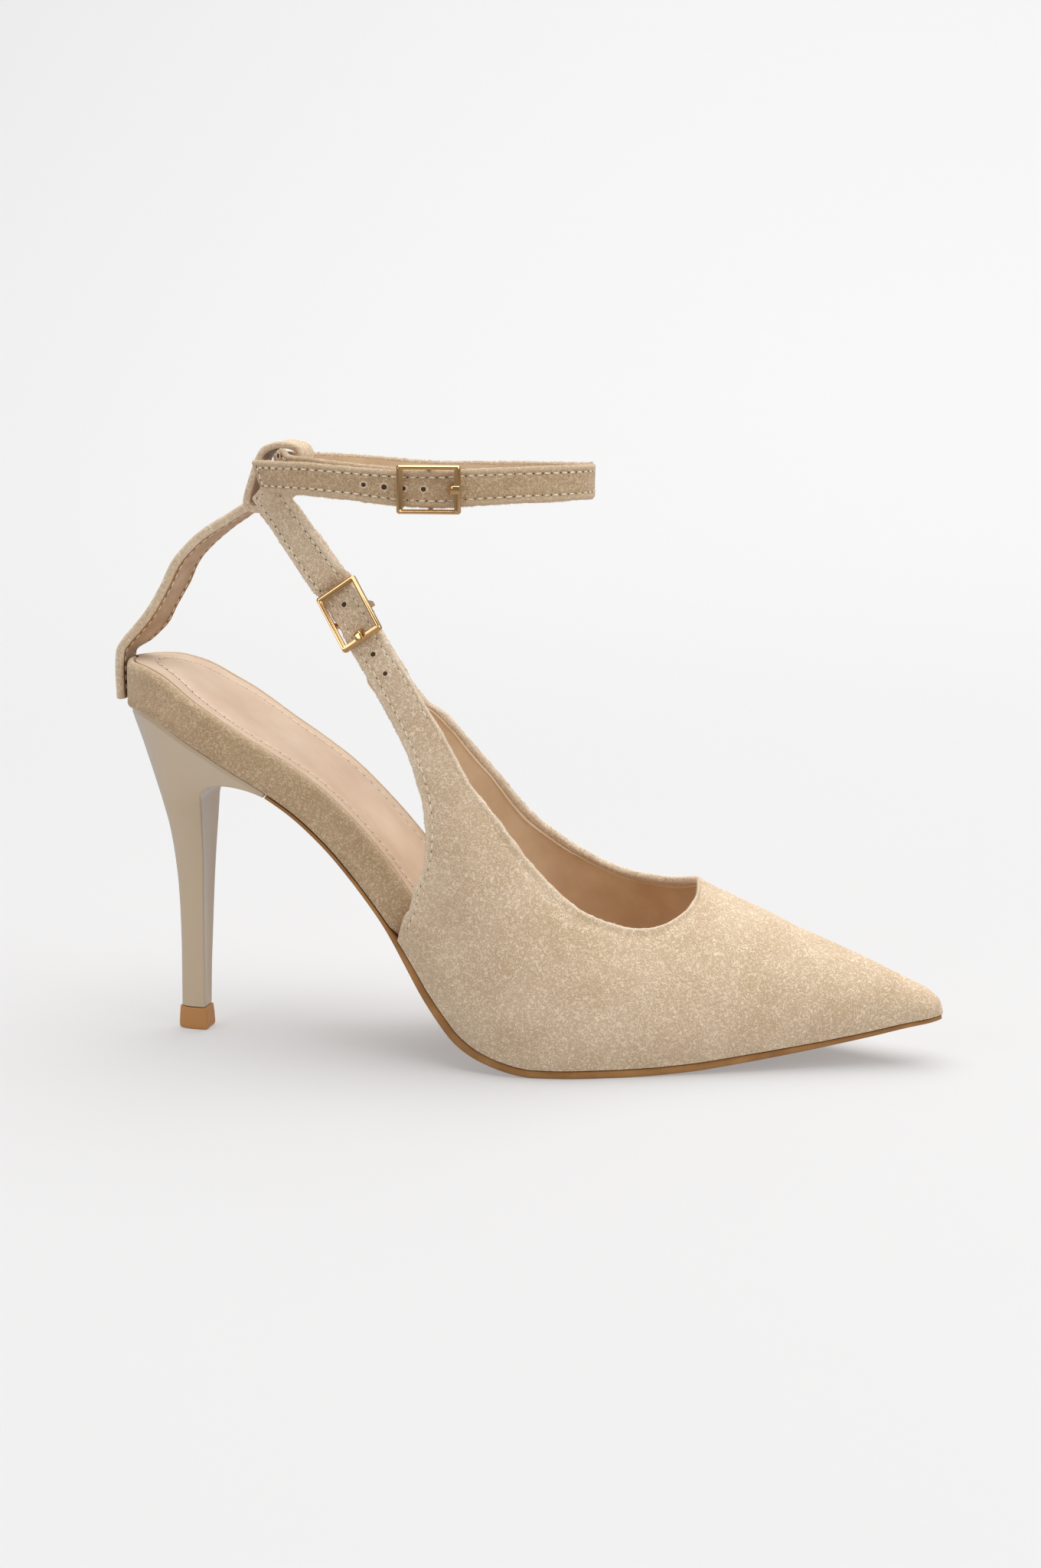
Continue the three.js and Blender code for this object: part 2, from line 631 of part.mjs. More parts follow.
// A strap's middle line from its root on the wing to the junction behind the ankle. The table's rows place
// it against the straight line between the two: forwards and out of the shoe, in millimetres.
function strapRoute({ rib, rootFace, end, endFace, side, rows }) {
  const foot = new THREE.Vector3(...rib[0].outside);
  const top = new THREE.Vector3(...rib[rib.length - 1].outside);
  const root = foot.clone().add(top).multiplyScalar(0.5);
  const rootAcross = top.clone().sub(foot);
  const width = column(rows, "width", "along");
  const forward = column(rows, "forward", "along");
  const outward = column(rows, "outward", "along");
  const middle = (t) =>
    new THREE.Vector3().lerpVectors(root, end, t).add(new THREE.Vector3(forward(t), side * outward(t), 0));
  return (t) => {
    const step = 0.02;
    const tangent = middle(t + step).sub(middle(t - step)).normalize();
    const face = new THREE.Vector3().lerpVectors(rootFace, endFace, t);
    const square = new THREE.Vector3().crossVectors(face, tangent).normalize();
    if (square.x < 0) square.negate();
    const normal = new THREE.Vector3().crossVectors(square, tangent).normalize();
    if (normal.dot(face) < 0) normal.negate();
    const turned = THREE.MathUtils.smoothstep(t, 0, 0.2);
    const across = rootAcross.clone().multiplyScalar(1 - turned).addScaledVector(square, width(t) * turned);
    return { middle: middle(t), tangent, across, square, normal };
  };
}

const sideRoute = strapRoute({
  rib: ribOf(lateralRibs[0], -1),
  rootFace: new THREE.Vector3(0.1, -1, 0.05),
  end: new THREE.Vector3(junctionX, -junctionY, junctionZ),
  endFace: new THREE.Vector3(-0.48, -0.88, 0),
  side: -1,
  rows: [
    { along: 0, forward: 0, outward: 0, width: 0.93 * sideStrapWidth },
    { along: 0.16, forward: 0.7, outward: 1.1, width: 0.88 * sideStrapWidth },
    { along: 0.35, forward: 2.1, outward: 1.9, width: 0.87 * sideStrapWidth },
    { along: 0.52, forward: 1.5, outward: 1.9, width: 0.87 * sideStrapWidth },
    { along: 0.75, forward: 0.7, outward: 1.3, width: sideStrapWidth },
    { along: 1, forward: 0, outward: 0, width: sideStrapWidth },
  ],
});
const farRoute = strapRoute({
  rib: ribOf(medialRibs[0], 1),
  rootFace: new THREE.Vector3(0.1, 1, 0.05),
  end: new THREE.Vector3(junctionX - 4.6, junctionY - 1.5, junctionZ - 2.4),
  endFace: new THREE.Vector3(-0.4, 0.92, 0),
  side: 1,
  rows: [
    { along: 0, forward: 0, outward: 0, width: farStrapWidth },
    { along: 0.15, forward: 1.8, outward: 0.8, width: 0.9 * farStrapWidth },
    { along: 0.3, forward: 1.9, outward: 1.2, width: 0.9 * farStrapWidth },
    { along: 0.6, forward: 1.5, outward: 1.4, width: farStrapWidth },
    { along: 1, forward: 0, outward: 0, width: farStrapWidth },
  ],
});

// Where the side buckle's middle is on the side strap, and where the strap's tip lies under its upper bar.
const sideBuckleAt = 0.35;
const sideTipAt = sideBuckleAt + 0.125;

// The ribs of a strap, from its far end back to the root.
function strapRibs(route, tipAt) {
  return Array.from({ length: strapSteps }, (_, i) => {
    const spot = route(tipAt * (1 - i / strapSteps));
    return Array.from({ length: upperSteps + 1 }, (__, k) => {
      const outside = spot.middle.clone().addScaledVector(spot.across, k / upperSteps - 0.5);
      const inside = outside.clone().addScaledVector(spot.normal, -wall);
      return { outside: outside.toArray(), inside: inside.toArray() };
    });
  });
}

// The rows over the toe, from the throat to the point, each from the outer foot over the ridge.
function toeRibs() {
  const throat = lateralRibs[lateralRibs.length - 1];
  return Array.from({ length: toeRows }, (_, i) => {
    const along = 1 - (1 - (i + 1) / toeRows) ** 1.7;
    const ridgeAt = THREE.MathUtils.lerp(throat.topAt, 1, along);
    const footAt = THREE.MathUtils.lerp(throat.footAt, 1, along);
    const half = (side) => ribOf({ topAt: ridgeAt, topUp: 1, footAt, footUp: 0 }, side);
    return { outer: half(-1), inner: half(1) };
  });
}

function upper() {
  const skin = new Skin();
  const outside = (rib) => rib.map((spot) => spot.outside);
  const inside = (rib) => rib.map((spot) => spot.inside);
  // Faces of one side between two ribs; the outer side of the foot has them the other way round.
  const between = (back, front, side) => {
    if (side < 0) {
      skin.band(outside(back).reverse(), outside(front).reverse());
      skin.band(inside(back), inside(front));
    } else {
      skin.band(outside(back), outside(front));
      skin.band(inside(back).reverse(), inside(front).reverse());
    }
  };
  // The edge of the sheet between two spots, facing away from it.
  const rim = (first, second) => skin.quad(first.outside, second.outside, second.inside, first.inside);
  const sides = [
    { side: -1, ribs: [...strapRibs(sideRoute, sideTipAt), ...lateralRibs.map((row) => ribOf(row, -1))] },
    { side: 1, ribs: [...strapRibs(farRoute, 1), ...medialRibs.map((row) => ribOf(row, 1))] },
  ];
  const toe = toeRibs();
  sides.forEach(({ side, ribs }) => {
    const tops = ribs.map((rib) => rib[upperSteps]);
    const feet = [...ribs, ...toe.map((row) => (side < 0 ? row.outer : row.inner))].map((rib) => rib[0]);
    const all = [...ribs, ...toe.map((row) => (side < 0 ? row.outer : row.inner))];
    for (let i = 0; i + 1 < all.length; i += 1) between(all[i], all[i + 1], side);
    const edge = (spots, forwards) => {
      for (let i = 0; i + 1 < spots.length; i += 1) {
        if (forwards) rim(spots[i], spots[i + 1]);
        else rim(spots[i + 1], spots[i]);
      }
    };
    edge(feet, side > 0);
    edge(tops, side < 0);
    edge(ribs[0], side < 0);
  });
  const whole = skin.geometry();
  return cutPronghole(whole, sideBuckleSpot);
}

// A flat band through spots, as a closed solid with square edges.
function bandOf(spots, thickness) {
  const rings = spots.map(({ middle, across, normal, width }) => {
    const corner = (a, n) =>
      middle
        .clone()
        .addScaledVector(across, a * width)
        .addScaledVector(normal, n * thickness)
        .toArray();
    return [corner(-0.5, 0), corner(0.5, 0), corner(0.5, -1), corner(-0.5, -1)];
  });
  const made = loft(rings);
  const whole = solidOf(made);
  if (whole.volume() > 0) return made;
  return loft(rings.map((ring) => [...ring].reverse()));
}

// The strap that holds the side buckle: under the side strap from the centre bar to the upper end bar, then
// in line with it up to the junction.
function buckleStrap() {
  const spots = turns(18).map((share) => {
    const t = THREE.MathUtils.lerp(sideBuckleAt + 0.027, 1.07, share);
    const risen = THREE.MathUtils.smoothstep(t, sideTipAt + 0.012, sideTipAt + 0.075);
    const widened = THREE.MathUtils.smoothstep(t, sideBuckleAt + 0.02, sideTipAt + 0.03);
    const { middle, square, normal } = sideRoute(t);
    middle.addScaledVector(normal, (risen - 1) * (wall + clearance));
    return { middle, across: square, normal, width: THREE.MathUtils.lerp(0.86, 1, widened) * sideStrapWidth };
  });
  return bandOf(spots, strapThickness);
}

// The ankle strap is one long spiral. "turn" counts quarter turns: the under layer starts at the buckle on
// the near side, goes back through the loop (2), round the far side (1) and the front (0), and the top layer
// comes back through the buckle (-1) to its slanted end. "lift" is the height over the strap's level, "out"
// how far it stands off the oval, and "width" a share of the strap's width.
const spiral = [
  { turn: -1.74, lift: 2.1, out: 1.7, width: 0.9 },
  { turn: -1.4, lift: 2, out: 1.1, width: 0.94 },
  { turn: -1.2, lift: 1.2, out: 0.3, width: 0.96 },
  { turn: -1, lift: 0, out: 0, width: 0.98 },
  { turn: -0.88, lift: -0.2, out: 0, width: 1 },
  { turn: -0.75, lift: 0.3, out: 0, width: 1.03 },
  { turn: -0.5, lift: 0.9, out: 0, width: 1.03 },
  { turn: 0, lift: 1.1, out: 0, width: 1 },
  { turn: 0.4, lift: 0.6, out: 0, width: 1 },
  { turn: 1, lift: 0, out: 0, width: 1 },
  { turn: 1.4, lift: 1.9, out: 0, width: 1 },
  { turn: 2, lift: 3.5, out: 0, width: 0.97 },
  { turn: 2.2, lift: 3.6, out: 0, width: 0.97 },
  { turn: 2.27, lift: 5, out: 0, width: 0.97 },
  { turn: 2.36, lift: 3.4, out: 0, width: 0.97 },
  { turn: 2.5, lift: 3, out: 0, width: 0.97 },
  { turn: 3.07, lift: 0.4, out: 0, width: 0.97 },
];
const spiralLift = column(spiral, "lift", "turn");
const spiralOut = column(spiral, "out", "turn");
const spiralWidth = column(spiral, "width", "turn");
const underHalfLength = ankleHalfLength - 6.9;
const underHalfWidth = ankleHalfWidth - strapThickness - 2 * clearance;

function ankleSpot(turn) {
  const angle = (turn * Math.PI) / 2;
  const under = THREE.MathUtils.smoothstep(turn, 1, 2);
  const long = turn > 1 ? underHalfLength : ankleHalfLength;
  const wide = THREE.MathUtils.lerp(ankleHalfWidth, underHalfWidth, under);
  const x = ankleCentre + long * Math.cos(angle);
  const y = wide * Math.sin(angle);
  const normal = new THREE.Vector3(Math.cos(angle) / long, Math.sin(angle) / wide, 0).normalize();
  const middle = new THREE.Vector3(x, y, ankleHeight + spiralLift(turn));
  middle.addScaledVector(normal, strapThickness / 2 + spiralOut(turn));
  return { middle, across: new THREE.Vector3(0, 0, 1), normal, width: ankleStrapWidth * spiralWidth(turn) };
}

const ankleBuckleTurn = -0.897;
const ankleTailTurn = -1.7;
const ankleRootTurn = 3.1;

function ankleStrap() {
  const count = 76;
  const spots = turns(count).map((share) => ankleSpot(THREE.MathUtils.lerp(ankleRootTurn, ankleTailTurn, share)));
  // the tail's end is cut on a slant, its upper edge the longer
  const slant = 3.6;
  const end = spots[count];
  const back = spots[count].middle.clone().sub(spots[count - 1].middle).normalize();
  end.across = new THREE.Vector3(0, 0, 1).addScaledVector(back, slant / ankleStrapWidth);
  const whole = bandOf(spots, strapThickness);
  return cutPronghole(whole, ankleBuckleSpot);
}

// The stay behind the heel: a band that rises from the seat, kinks and leans forwards to the junction,
// where it goes on as a loop round the ankle strap. Both middle lines are in the shoe's upright plane: "fore"
// is from the back of the footbed and "up" from the stay's foot, both as shares of the stay's rise.
const stayLine = [
  { fore: -0.0273, up: 0 },
  { fore: -0.0291, up: 0.205 },
  { fore: -0.0036, up: 0.285 },
  { fore: 0.1127, up: 0.42 },
  { fore: 0.2036, up: 0.562 },
  { fore: 0.2691, up: 0.688 },
  { fore: 0.3455, up: 0.775 },
  { fore: 0.4473, up: 0.856 },
  { fore: 0.5655, up: 0.925 },
  { fore: 0.6655, up: 0.985 },
];
const loopLine = [
  { fore: 0.6455, up: 0.985 },
  { fore: 0.6673, up: 1.084 },
  { fore: 0.6855, up: 1.142 },
  { fore: 0.7145, up: 1.215 },
  { fore: 0.7436, up: 1.253 },
  { fore: 0.8, up: 1.273 },
  { fore: 0.8655, up: 1.271 },
  { fore: 0.9145, up: 1.244 },
  { fore: 0.9055, up: 1.155 },
  { fore: 0.8655, up: 1.064 },
  { fore: 0.7745, up: 0.991 },
  { fore: 0.7018, up: 0.958 },
];
// How far the stay turns round its own middle line, so that its inner edge lies further forward: the slope of
// its width in plan, from its foot to the junction.
const stayTwist = column(
  [
    { up: 0, slope: 0 },
    { up: 0.22, slope: 0.02 },
    { up: 0.29, slope: 0.32 },
    { up: 0.36, slope: 0.36 },
    { up: 0.47, slope: 0.26 },
    { up: 0.65, slope: 0.25 },
    { up: 0.8, slope: 0.22 },
    { up: 0.92, slope: 0.08 },
    { up: 0.98, slope: 0 },
  ],
  "slope",
  "up",
);
const stayFoot = seatHeight + stayOverSeat;
const stayRise = ankleHeight - stayDrop - stayFoot;

function uprightExtrusion(points, width) {
  const shape = new THREE.Shape(points);
  const geometry = new THREE.ExtrudeGeometry(shape, { depth: width, bevelEnabled: false, curveSegments: 1 });
  geometry.rotateX(Math.PI / 2);
  geometry.translate(0, width / 2, 0);
  return solidOf(geometry);
}

// Points along a smooth line through a table's rows, and the same moved sideways.
function smoothLine(rows, count, closed) {
  const knots = rows.map((row) => new THREE.Vector3(seatBack + row.fore * stayRise, 0, stayFoot + row.up * stayRise));
  const curve = new THREE.CatmullRomCurve3(knots, closed, "centripetal");
  return (closed ? turns(count).slice(0, -1) : turns(count)).map((share) => {
    const point = curve.getPoint(share);
    const tangent = curve.getTangent(share);
    return (offset) => new THREE.Vector2(point.x - tangent.z * offset, point.z + tangent.x * offset);
  });
}

function backStay() {
  const line = smoothLine(stayLine, 22, false);
  const far = line.map((spot) => spot(stayThickness / 2));
  const near = line.map((spot) => spot(-stayThickness / 2)).reverse();
  const loop = smoothLine(loopLine, 30, true);
  const outer = loop.map((spot) => spot(loopWall / 2));
  const inner = loop.map((spot) => spot(-loopWall / 2));
  const band = uprightExtrusion([...far, ...near], stayWidth).warp((spot) => {
    spot[0] += (spot[1] + stayWidth / 2) * stayTwist((spot[2] - stayFoot) / stayRise);
  });
  const made = band.add(uprightExtrusion(outer, stayWidth));
  return geometryOf(made.subtract(uprightExtrusion(inner, 2 * stayWidth)));
}

// Where a buckle sits on its strap: x along the strap towards its tip, y across it, z out of its face. The
// buckle may be turned a little on the strap.
function buckleSpot({ middle, along, normal, turned }) {
  const length = along.clone().applyAxisAngle(normal, turned);
  const matrix = new THREE.Matrix4().makeBasis(length, new THREE.Vector3().crossVectors(normal, length), normal);
  return matrix.setPosition(middle);
}

const sideSpot = sideRoute(sideBuckleAt);
const sideBuckleSpot = buckleSpot({
  middle: sideSpot.middle,
  along: sideSpot.tangent,
  normal: sideSpot.normal,
  turned: sideBuckleTurned,
});
const ankleMiddle = ankleSpot(ankleBuckleTurn);
const ankleBuckleSpot = buckleSpot({
  middle: ankleMiddle.middle,
  along: new THREE.Vector3().crossVectors(ankleMiddle.normal, ankleMiddle.across).normalize(),
  normal: ankleMiddle.normal,
  turned: 0,
});

const pronghole = 5.1; // from the buckle's middle to the hole in use

function boxAt(width, depth, height, x, y, z) {
  const box = new THREE.BoxGeometry(width, depth, height);
  box.translate(x, y, z);
  return solidOf(box);
}

// The hole in a strap that its buckle's prong goes through.
function cutPronghole(geometry, matrix) {
  const hole = new THREE.BoxGeometry(1.8, prongWidth + 2 * clearance, 4 * strapThickness);
  hole.translate(-pronghole, 0, 0);
  hole.applyMatrix4(matrix);
  return geometryOf(solidOf(geometry).subtract(solidOf(hole)));
}

// A rectangular frame on the strap's face, with a centre bar under the strap that its side rails carry.
function buckleFrame() {
  const low = frameLift;
  const under = strapThickness + clearance;
  const outer = boxAt(buckleLength, buckleWidth, buckleThickness, 0, 0, low + buckleThickness / 2);
  const openLength = buckleLength - 2 * buckleEndBar;
  const openWidth = buckleWidth - 2 * buckleRail;
  const opening = boxAt(openLength, openWidth, 4 * buckleThickness, 0, 0, low);
  const bar = boxAt(centreBar, buckleWidth, centreBar, 0, 0, -under - centreBar / 2);
  const postHeight = under + centreBar + low + buckleThickness / 2;
  const post = (side) =>
    boxAt(
      centreBar,
      buckleRail,
      postHeight,
      0,
      (side * (buckleWidth - buckleRail)) / 2,
      -under - centreBar + postHeight / 2,
    );
  return outer.subtract(opening).add(bar).add(post(1)).add(post(-1));
}

// The prong: from the centre bar under the strap, up through the hole and over the lower end bar.
function prong() {
  const under = -strapThickness - clearance;
  const top = frameLift + buckleThickness + clearance;
  const start = -centreBar / 2 - clearance;
  const barEdge = -buckleLength / 2 + buckleEndBar;
  const tip = -buckleLength / 2 + 0.1;
  const shape = new THREE.Shape([
    new THREE.Vector2(start, under),
    new THREE.Vector2(start, under - 1.3),
    new THREE.Vector2(-pronghole - 0.5, under - 1.3),
    new THREE.Vector2(-pronghole - 0.6, 1.2),
    new THREE.Vector2(barEdge + 0.2, top),
    new THREE.Vector2(tip, top),
    new THREE.Vector2(tip, top + 0.7),
    new THREE.Vector2(barEdge, top + 1.1),
    new THREE.Vector2(-pronghole - 0.2, 2.2),
    new THREE.Vector2(-pronghole + 0.5, 0.8),
    new THREE.Vector2(-pronghole + 0.5, under),
  ]);
  const geometry = new THREE.ExtrudeGeometry(shape, { depth: prongWidth, bevelEnabled: false });
  geometry.rotateX(Math.PI / 2);
  geometry.translate(0, prongWidth / 2, 0);
  return solidOf(geometry);
}

function placed(solid, matrix) {
  return geometryOf(solid).applyMatrix4(matrix);
}

const group = new THREE.Group();
group.add(piece("upper", upper(), materials.suede));
group.add(piece("footbed", footbed(), materials.suede));
group.add(piece("sock", sock(), materials.sock));
group.add(piece("outsole", outsole(), materials.resin));
group.add(piece("heel", heel(), materials.lacquer));
group.add(piece("heel_tip", heelTip(), materials.rubber));
group.add(piece("back_stay", backStay(), materials.suede));
group.add(piece("ankle_strap", ankleStrap(), materials.suede));
group.add(piece("buckle_strap", buckleStrap(), materials.suede));
group.add(piece("ankle_buckle_frame", placed(buckleFrame(), ankleBuckleSpot), materials.gold));
group.add(piece("ankle_buckle_prong", placed(prong(), ankleBuckleSpot), materials.gold));
group.add(piece("side_buckle_frame", placed(buckleFrame(), sideBuckleSpot), materials.gold));
group.add(piece("side_buckle_prong", placed(prong(), sideBuckleSpot), materials.gold));

export default group;
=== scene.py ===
"""A right stiletto shoe dressed for the picture: suede, leather, lacquer and gilt over its solid model.

Sizes are millimetres in the shoe's own frame, with +X to the toe, +Y to the inner side of the foot and +Z
up. A mesh is scaled to metres when it is made.
"""

import logging
import math
from collections.abc import Callable, Mapping, Sequence
from dataclasses import dataclass
from enum import IntEnum
from functools import partial

import bmesh
import bpy
import numpy as np
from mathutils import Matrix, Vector


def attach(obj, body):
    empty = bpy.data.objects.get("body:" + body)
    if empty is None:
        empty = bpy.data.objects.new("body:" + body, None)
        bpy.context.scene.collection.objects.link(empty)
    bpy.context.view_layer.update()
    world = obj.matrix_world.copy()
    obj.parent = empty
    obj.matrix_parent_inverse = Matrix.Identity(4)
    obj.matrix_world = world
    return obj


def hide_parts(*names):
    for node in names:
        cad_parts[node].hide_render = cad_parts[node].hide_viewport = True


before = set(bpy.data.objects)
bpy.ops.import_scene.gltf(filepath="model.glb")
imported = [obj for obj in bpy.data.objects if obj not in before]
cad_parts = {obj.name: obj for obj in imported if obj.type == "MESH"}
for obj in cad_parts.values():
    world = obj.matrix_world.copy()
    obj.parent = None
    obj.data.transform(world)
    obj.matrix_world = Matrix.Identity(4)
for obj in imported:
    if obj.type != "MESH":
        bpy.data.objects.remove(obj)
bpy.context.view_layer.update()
LOG = logging.getLogger("shoe")
MM = 0.001

Array = np.ndarray
Inputs = Mapping[str | int, object] | None


class Side(IntEnum):
    """The two sides of the shoe, by the sign of Y."""

    LATERAL = -1
    MEDIAL = 1


class Face(IntEnum):
    """The finish of a stretch of a piece's skin, by its place in the piece's materials."""

    OUTER = 0
    LINING = 1
    EDGE = 2


# Plain mathematics


def smoothstep(x: Array | float, low: float, high: float) -> Array:
    """A soft step from 0 at low to 1 at high."""
    t = np.clip((np.asarray(x, dtype=float) - low) / (high - low), 0.0, 1.0)
    return t * t * (3.0 - 2.0 * t)


def unit(vectors: Array) -> Array:
    """The vectors at length one."""
    return vectors / np.maximum(np.linalg.norm(vectors, axis=-1, keepdims=True), 1e-9)


def mixed(a: Array, b: Array, share: Array | float) -> Array:
    """The blend of two arrays of points, with one share for each point."""
    weight = np.asarray(share, dtype=float)
    if weight.ndim:
        weight = weight[..., None]
    return a * (1.0 - weight) + b * weight


def hump(distance: Array, centre: float, reach: float) -> Array:
    """A soft hump of height 1 at a centre, a reach wide to each side."""
    return np.exp(-(((distance - centre) / reach) ** 2))


def ripple(points: Array, pitch: float, seed: int) -> Array:
    """Smooth unevenness, as of hand-worked leather.

    Args:
        points: Places in millimetres.
        pitch: Rough distance from swell to swell.
        seed: Picks one of many patterns.

    Returns:
        A value from about -1 to 1 for each place.
    """
    draw = np.random.default_rng(seed)
    waves = unit(draw.normal(size=(8, 3))) * (2.0 * math.pi / pitch) * draw.uniform(0.7, 1.4, (8, 1))
    phases = draw.uniform(0.0, 2.0 * math.pi, 8)
    return np.sin(points @ waves.T + phases).mean(axis=-1) * 1.8


class Table:
    """Columns of numbers over one key, joined by smooth curves that never overshoot the rows."""

    def __init__(self, names: str, rows: Sequence[Sequence[float]]) -> None:
        """Reads the rows; the first name is the key's."""
        values = np.array(rows, dtype=float)
        self.key = values[:, 0]
        self.columns = {name: values[:, i + 1] for i, name in enumerate(names.split()[1:])}
        self.slopes = {name: self._slopes(column) for name, column in self.columns.items()}

    def _slopes(self, column: Array) -> Array:
        """The curve's slope at each row."""
        span = np.diff(self.key)
        rise = np.diff(column) / span
        first = 2.0 * span[1:] + span[:-1]
        second = span[1:] + 2.0 * span[:-1]
        rising = rise[:-1] * rise[1:] > 0.0
        below = np.where(rising, rise[:-1], 1.0)
        above = np.where(rising, rise[1:], 1.0)
        inner = np.where(rising, (first + second) / (first / below + second / above), 0.0)
        return np.concatenate([rise[:1], inner, rise[-1:]])

    def at(self, name: str, where: Array | float) -> Array:
        """The named column's value at one or more keys.

        Args:
            name: The column.
            where: The keys.

        Returns:
            A value for each key.
        """
        x = np.clip(np.asarray(where, dtype=float), self.key[0], self.key[-1])
        i = np.clip(np.searchsorted(self.key, x, side="right") - 1, 0, len(self.key) - 2)
        span = self.key[i + 1] - self.key[i]
        t = (x - self.key[i]) / span
        u = 1.0 - t
        column = self.columns[name]
        slope = self.slopes[name]
        values = (1.0 + 2.0 * t) * u * u * column[i] + t * t * (3.0 - 2.0 * t) * column[i + 1]
        return values + t * u * span * (u * slope[i] - t * slope[i + 1])


# Meshes


class Skin:
    """Collects grids of points and makes one closed mesh of them."""

    def __init__(self) -> None:
        """Starts empty."""
        self.points: list[Array] = []
        self.pale: list[Array] = []
        self.faces: list[tuple[int, ...]] = []
        self.finishes: list[int] = []
        self.count = 0

    def _add(self, points: Array, pale: Array | float) -> int:
        """Stores places and how pale their nap is drawn, a painted highlight on rounded edges, and gives the
        number of the first.
        """
        base = self.count
        self.points.append(points.reshape(-1, 3))
        self.pale.append(np.broadcast_to(pale, points.shape[:-1]).reshape(-1))
        self.count += len(self.points[-1])
        return base

    def grid(self, points: Array, finish: Face = Face.OUTER, pale: Array | float = 0.0) -> None:
        """Adds the faces of a grid.

        Args:
            points: Rows and columns of places.
            finish: The finish of all its faces.
            pale: How pale the nap is drawn at each place: a painted highlight on rounded edges.
        """
        rows, columns = points.shape[:2]
        base = self._add(points, pale)
        index = base + np.arange(rows * columns).reshape(rows, columns)
        corners = [index[:-1, :-1], index[:-1, 1:], index[1:, 1:], index[1:, :-1]]
        self.faces.extend(map(tuple, np.stack(corners, axis=-1).reshape(-1, 4).tolist()))
        self.finishes.extend([int(finish)] * ((rows - 1) * (columns - 1)))

    def cap(self, ring: Array, finish: Face = Face.OUTER) -> None:
        """Closes a ring of points with one flat face."""
        base = self._add(ring, 0.0)
        self.faces.append(tuple(range(base, base + len(ring))))
        self.finishes.append(int(finish))

    def piece(
        self, name: str, finishes: Sequence[bpy.types.Material], sharp: float = 50.0
    ) -> bpy.types.Object:
        """Makes the piece.

        Args:
            name: The piece's name.
            finishes: Its materials, in the order of Face.
            sharp: The angle in degrees over which an edge stays sharp.

        Returns:
            The new object, at the origin.
        """
        points = np.concatenate(self.points)
        pale = np.concatenate(self.pale)
        _, first, inverse = np.unique(np.round(points, 3), axis=0, return_index=True, return_inverse=True)
        inverse = inverse.reshape(-1)
        faces = []
        kinds = []
        for corners, finish in zip(self.faces, self.finishes):
            merged = inverse[list(corners)].tolist()
            kept = [corner for i, corner in enumerate(merged) if corner != merged[i - 1]]
            if len(kept) > 2 and len(set(kept)) == len(kept):
                faces.append(kept)
                kinds.append(finish)
        mesh = bpy.data.meshes.new(name)
        mesh.from_pydata((points[first] * MM).tolist(), [], faces)
        mesh.polygons.foreach_set("material_index", kinds)
        # Paleness of the nap: a painted highlight on rolled edges and roundings.
        edge_highlight = mesh.attributes.new("pale", "FLOAT", "POINT")
        edge_highlight.data.foreach_set("value", pale[first].astype(np.float32))
        for material in finishes:
            mesh.materials.append(material)
        shell = bmesh.new()
        shell.from_mesh(mesh)
        bmesh.ops.recalc_face_normals(shell, faces=shell.faces)
        shell.to_mesh(mesh)
        shell.free()
        mesh.shade_smooth()
        mesh.set_sharp_from_angle(angle=math.radians(sharp))
        made = bpy.data.objects.new(name, mesh)
        bpy.context.scene.collection.objects.link(made)
        return made


def settle(made: bpy.types.Object, slot: str, *nodes: str) -> None:
    """Attaches a piece to the root body and hides the solids that it stands for.

    Args:
        made: The finished piece.
        slot: Not used.
        nodes: The solids that it replaces.
    """
    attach(made, "root")
    if nodes:
        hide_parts(*nodes)
    LOG.info("%s: %d faces", made.name, len(made.data.polygons))


# Finishes


def linear(code: str) -> tuple[float, float, float, float]:
    """An sRGB hex colour as the linear numbers that Blender keeps."""
    shares = [int(code[i : i + 2], 16) / 255.0 for i in (1, 3, 5)]
    red, green, blue = (s / 12.92 if s <= 0.04045 else ((s + 0.055) / 1.055) ** 2.4 for s in shares)
    return (red, green, blue, 1.0)


def add_node(
    tree: bpy.types.NodeTree, kind: str, inputs: Inputs = None, **settings: object
) -> bpy.types.Node:
    """Adds a node with its settings and links.

    Args:
        tree: Takes the node.
        kind: Blender's name for the node.
        inputs: A value or another node's output for each input.
        settings: The node's own settings.

    Returns:
        The new node.
    """
    node = tree.nodes.new(kind)
    for name, value in settings.items():
        setattr(node, name, value)
    for name, value in (inputs or {}).items():
        if isinstance(value, bpy.types.NodeSocket):
            tree.links.new(value, node.inputs[name])
        else:
            node.inputs[name].default_value = value
    return node


class Recipe:
    """A material's node tree, written node by node."""

    def __init__(self, name: str) -> None:
        """Starts a material with one shader."""
        self.material = bpy.data.materials.new(name)
        self.material.use_nodes = True
        self.tree = self.material.node_tree
        self.tree.nodes.clear()
        self.shader = self.add("BsdfPrincipled")
        self.add("OutputMaterial", {"Surface": self.shader.outputs["BSDF"]})

    def add(self, kind: str, inputs: Inputs = None, **settings: object) -> bpy.types.Node:
        """Adds a shader node to this material, by its kind's short name."""
        return add_node(self.tree, "ShaderNode" + kind, inputs, **settings)

    def shade(self, **inputs: object) -> bpy.types.Material:
        """Sets the shader's own inputs, with _ for a space, and gives the finished material."""
        for name, value in inputs.items():
            socket = self.shader.inputs[name.replace("_", " ")]
            if isinstance(value, bpy.types.NodeSocket):
                self.tree.links.new(value, socket)
            else:
                socket.default_value = value
        return self.material


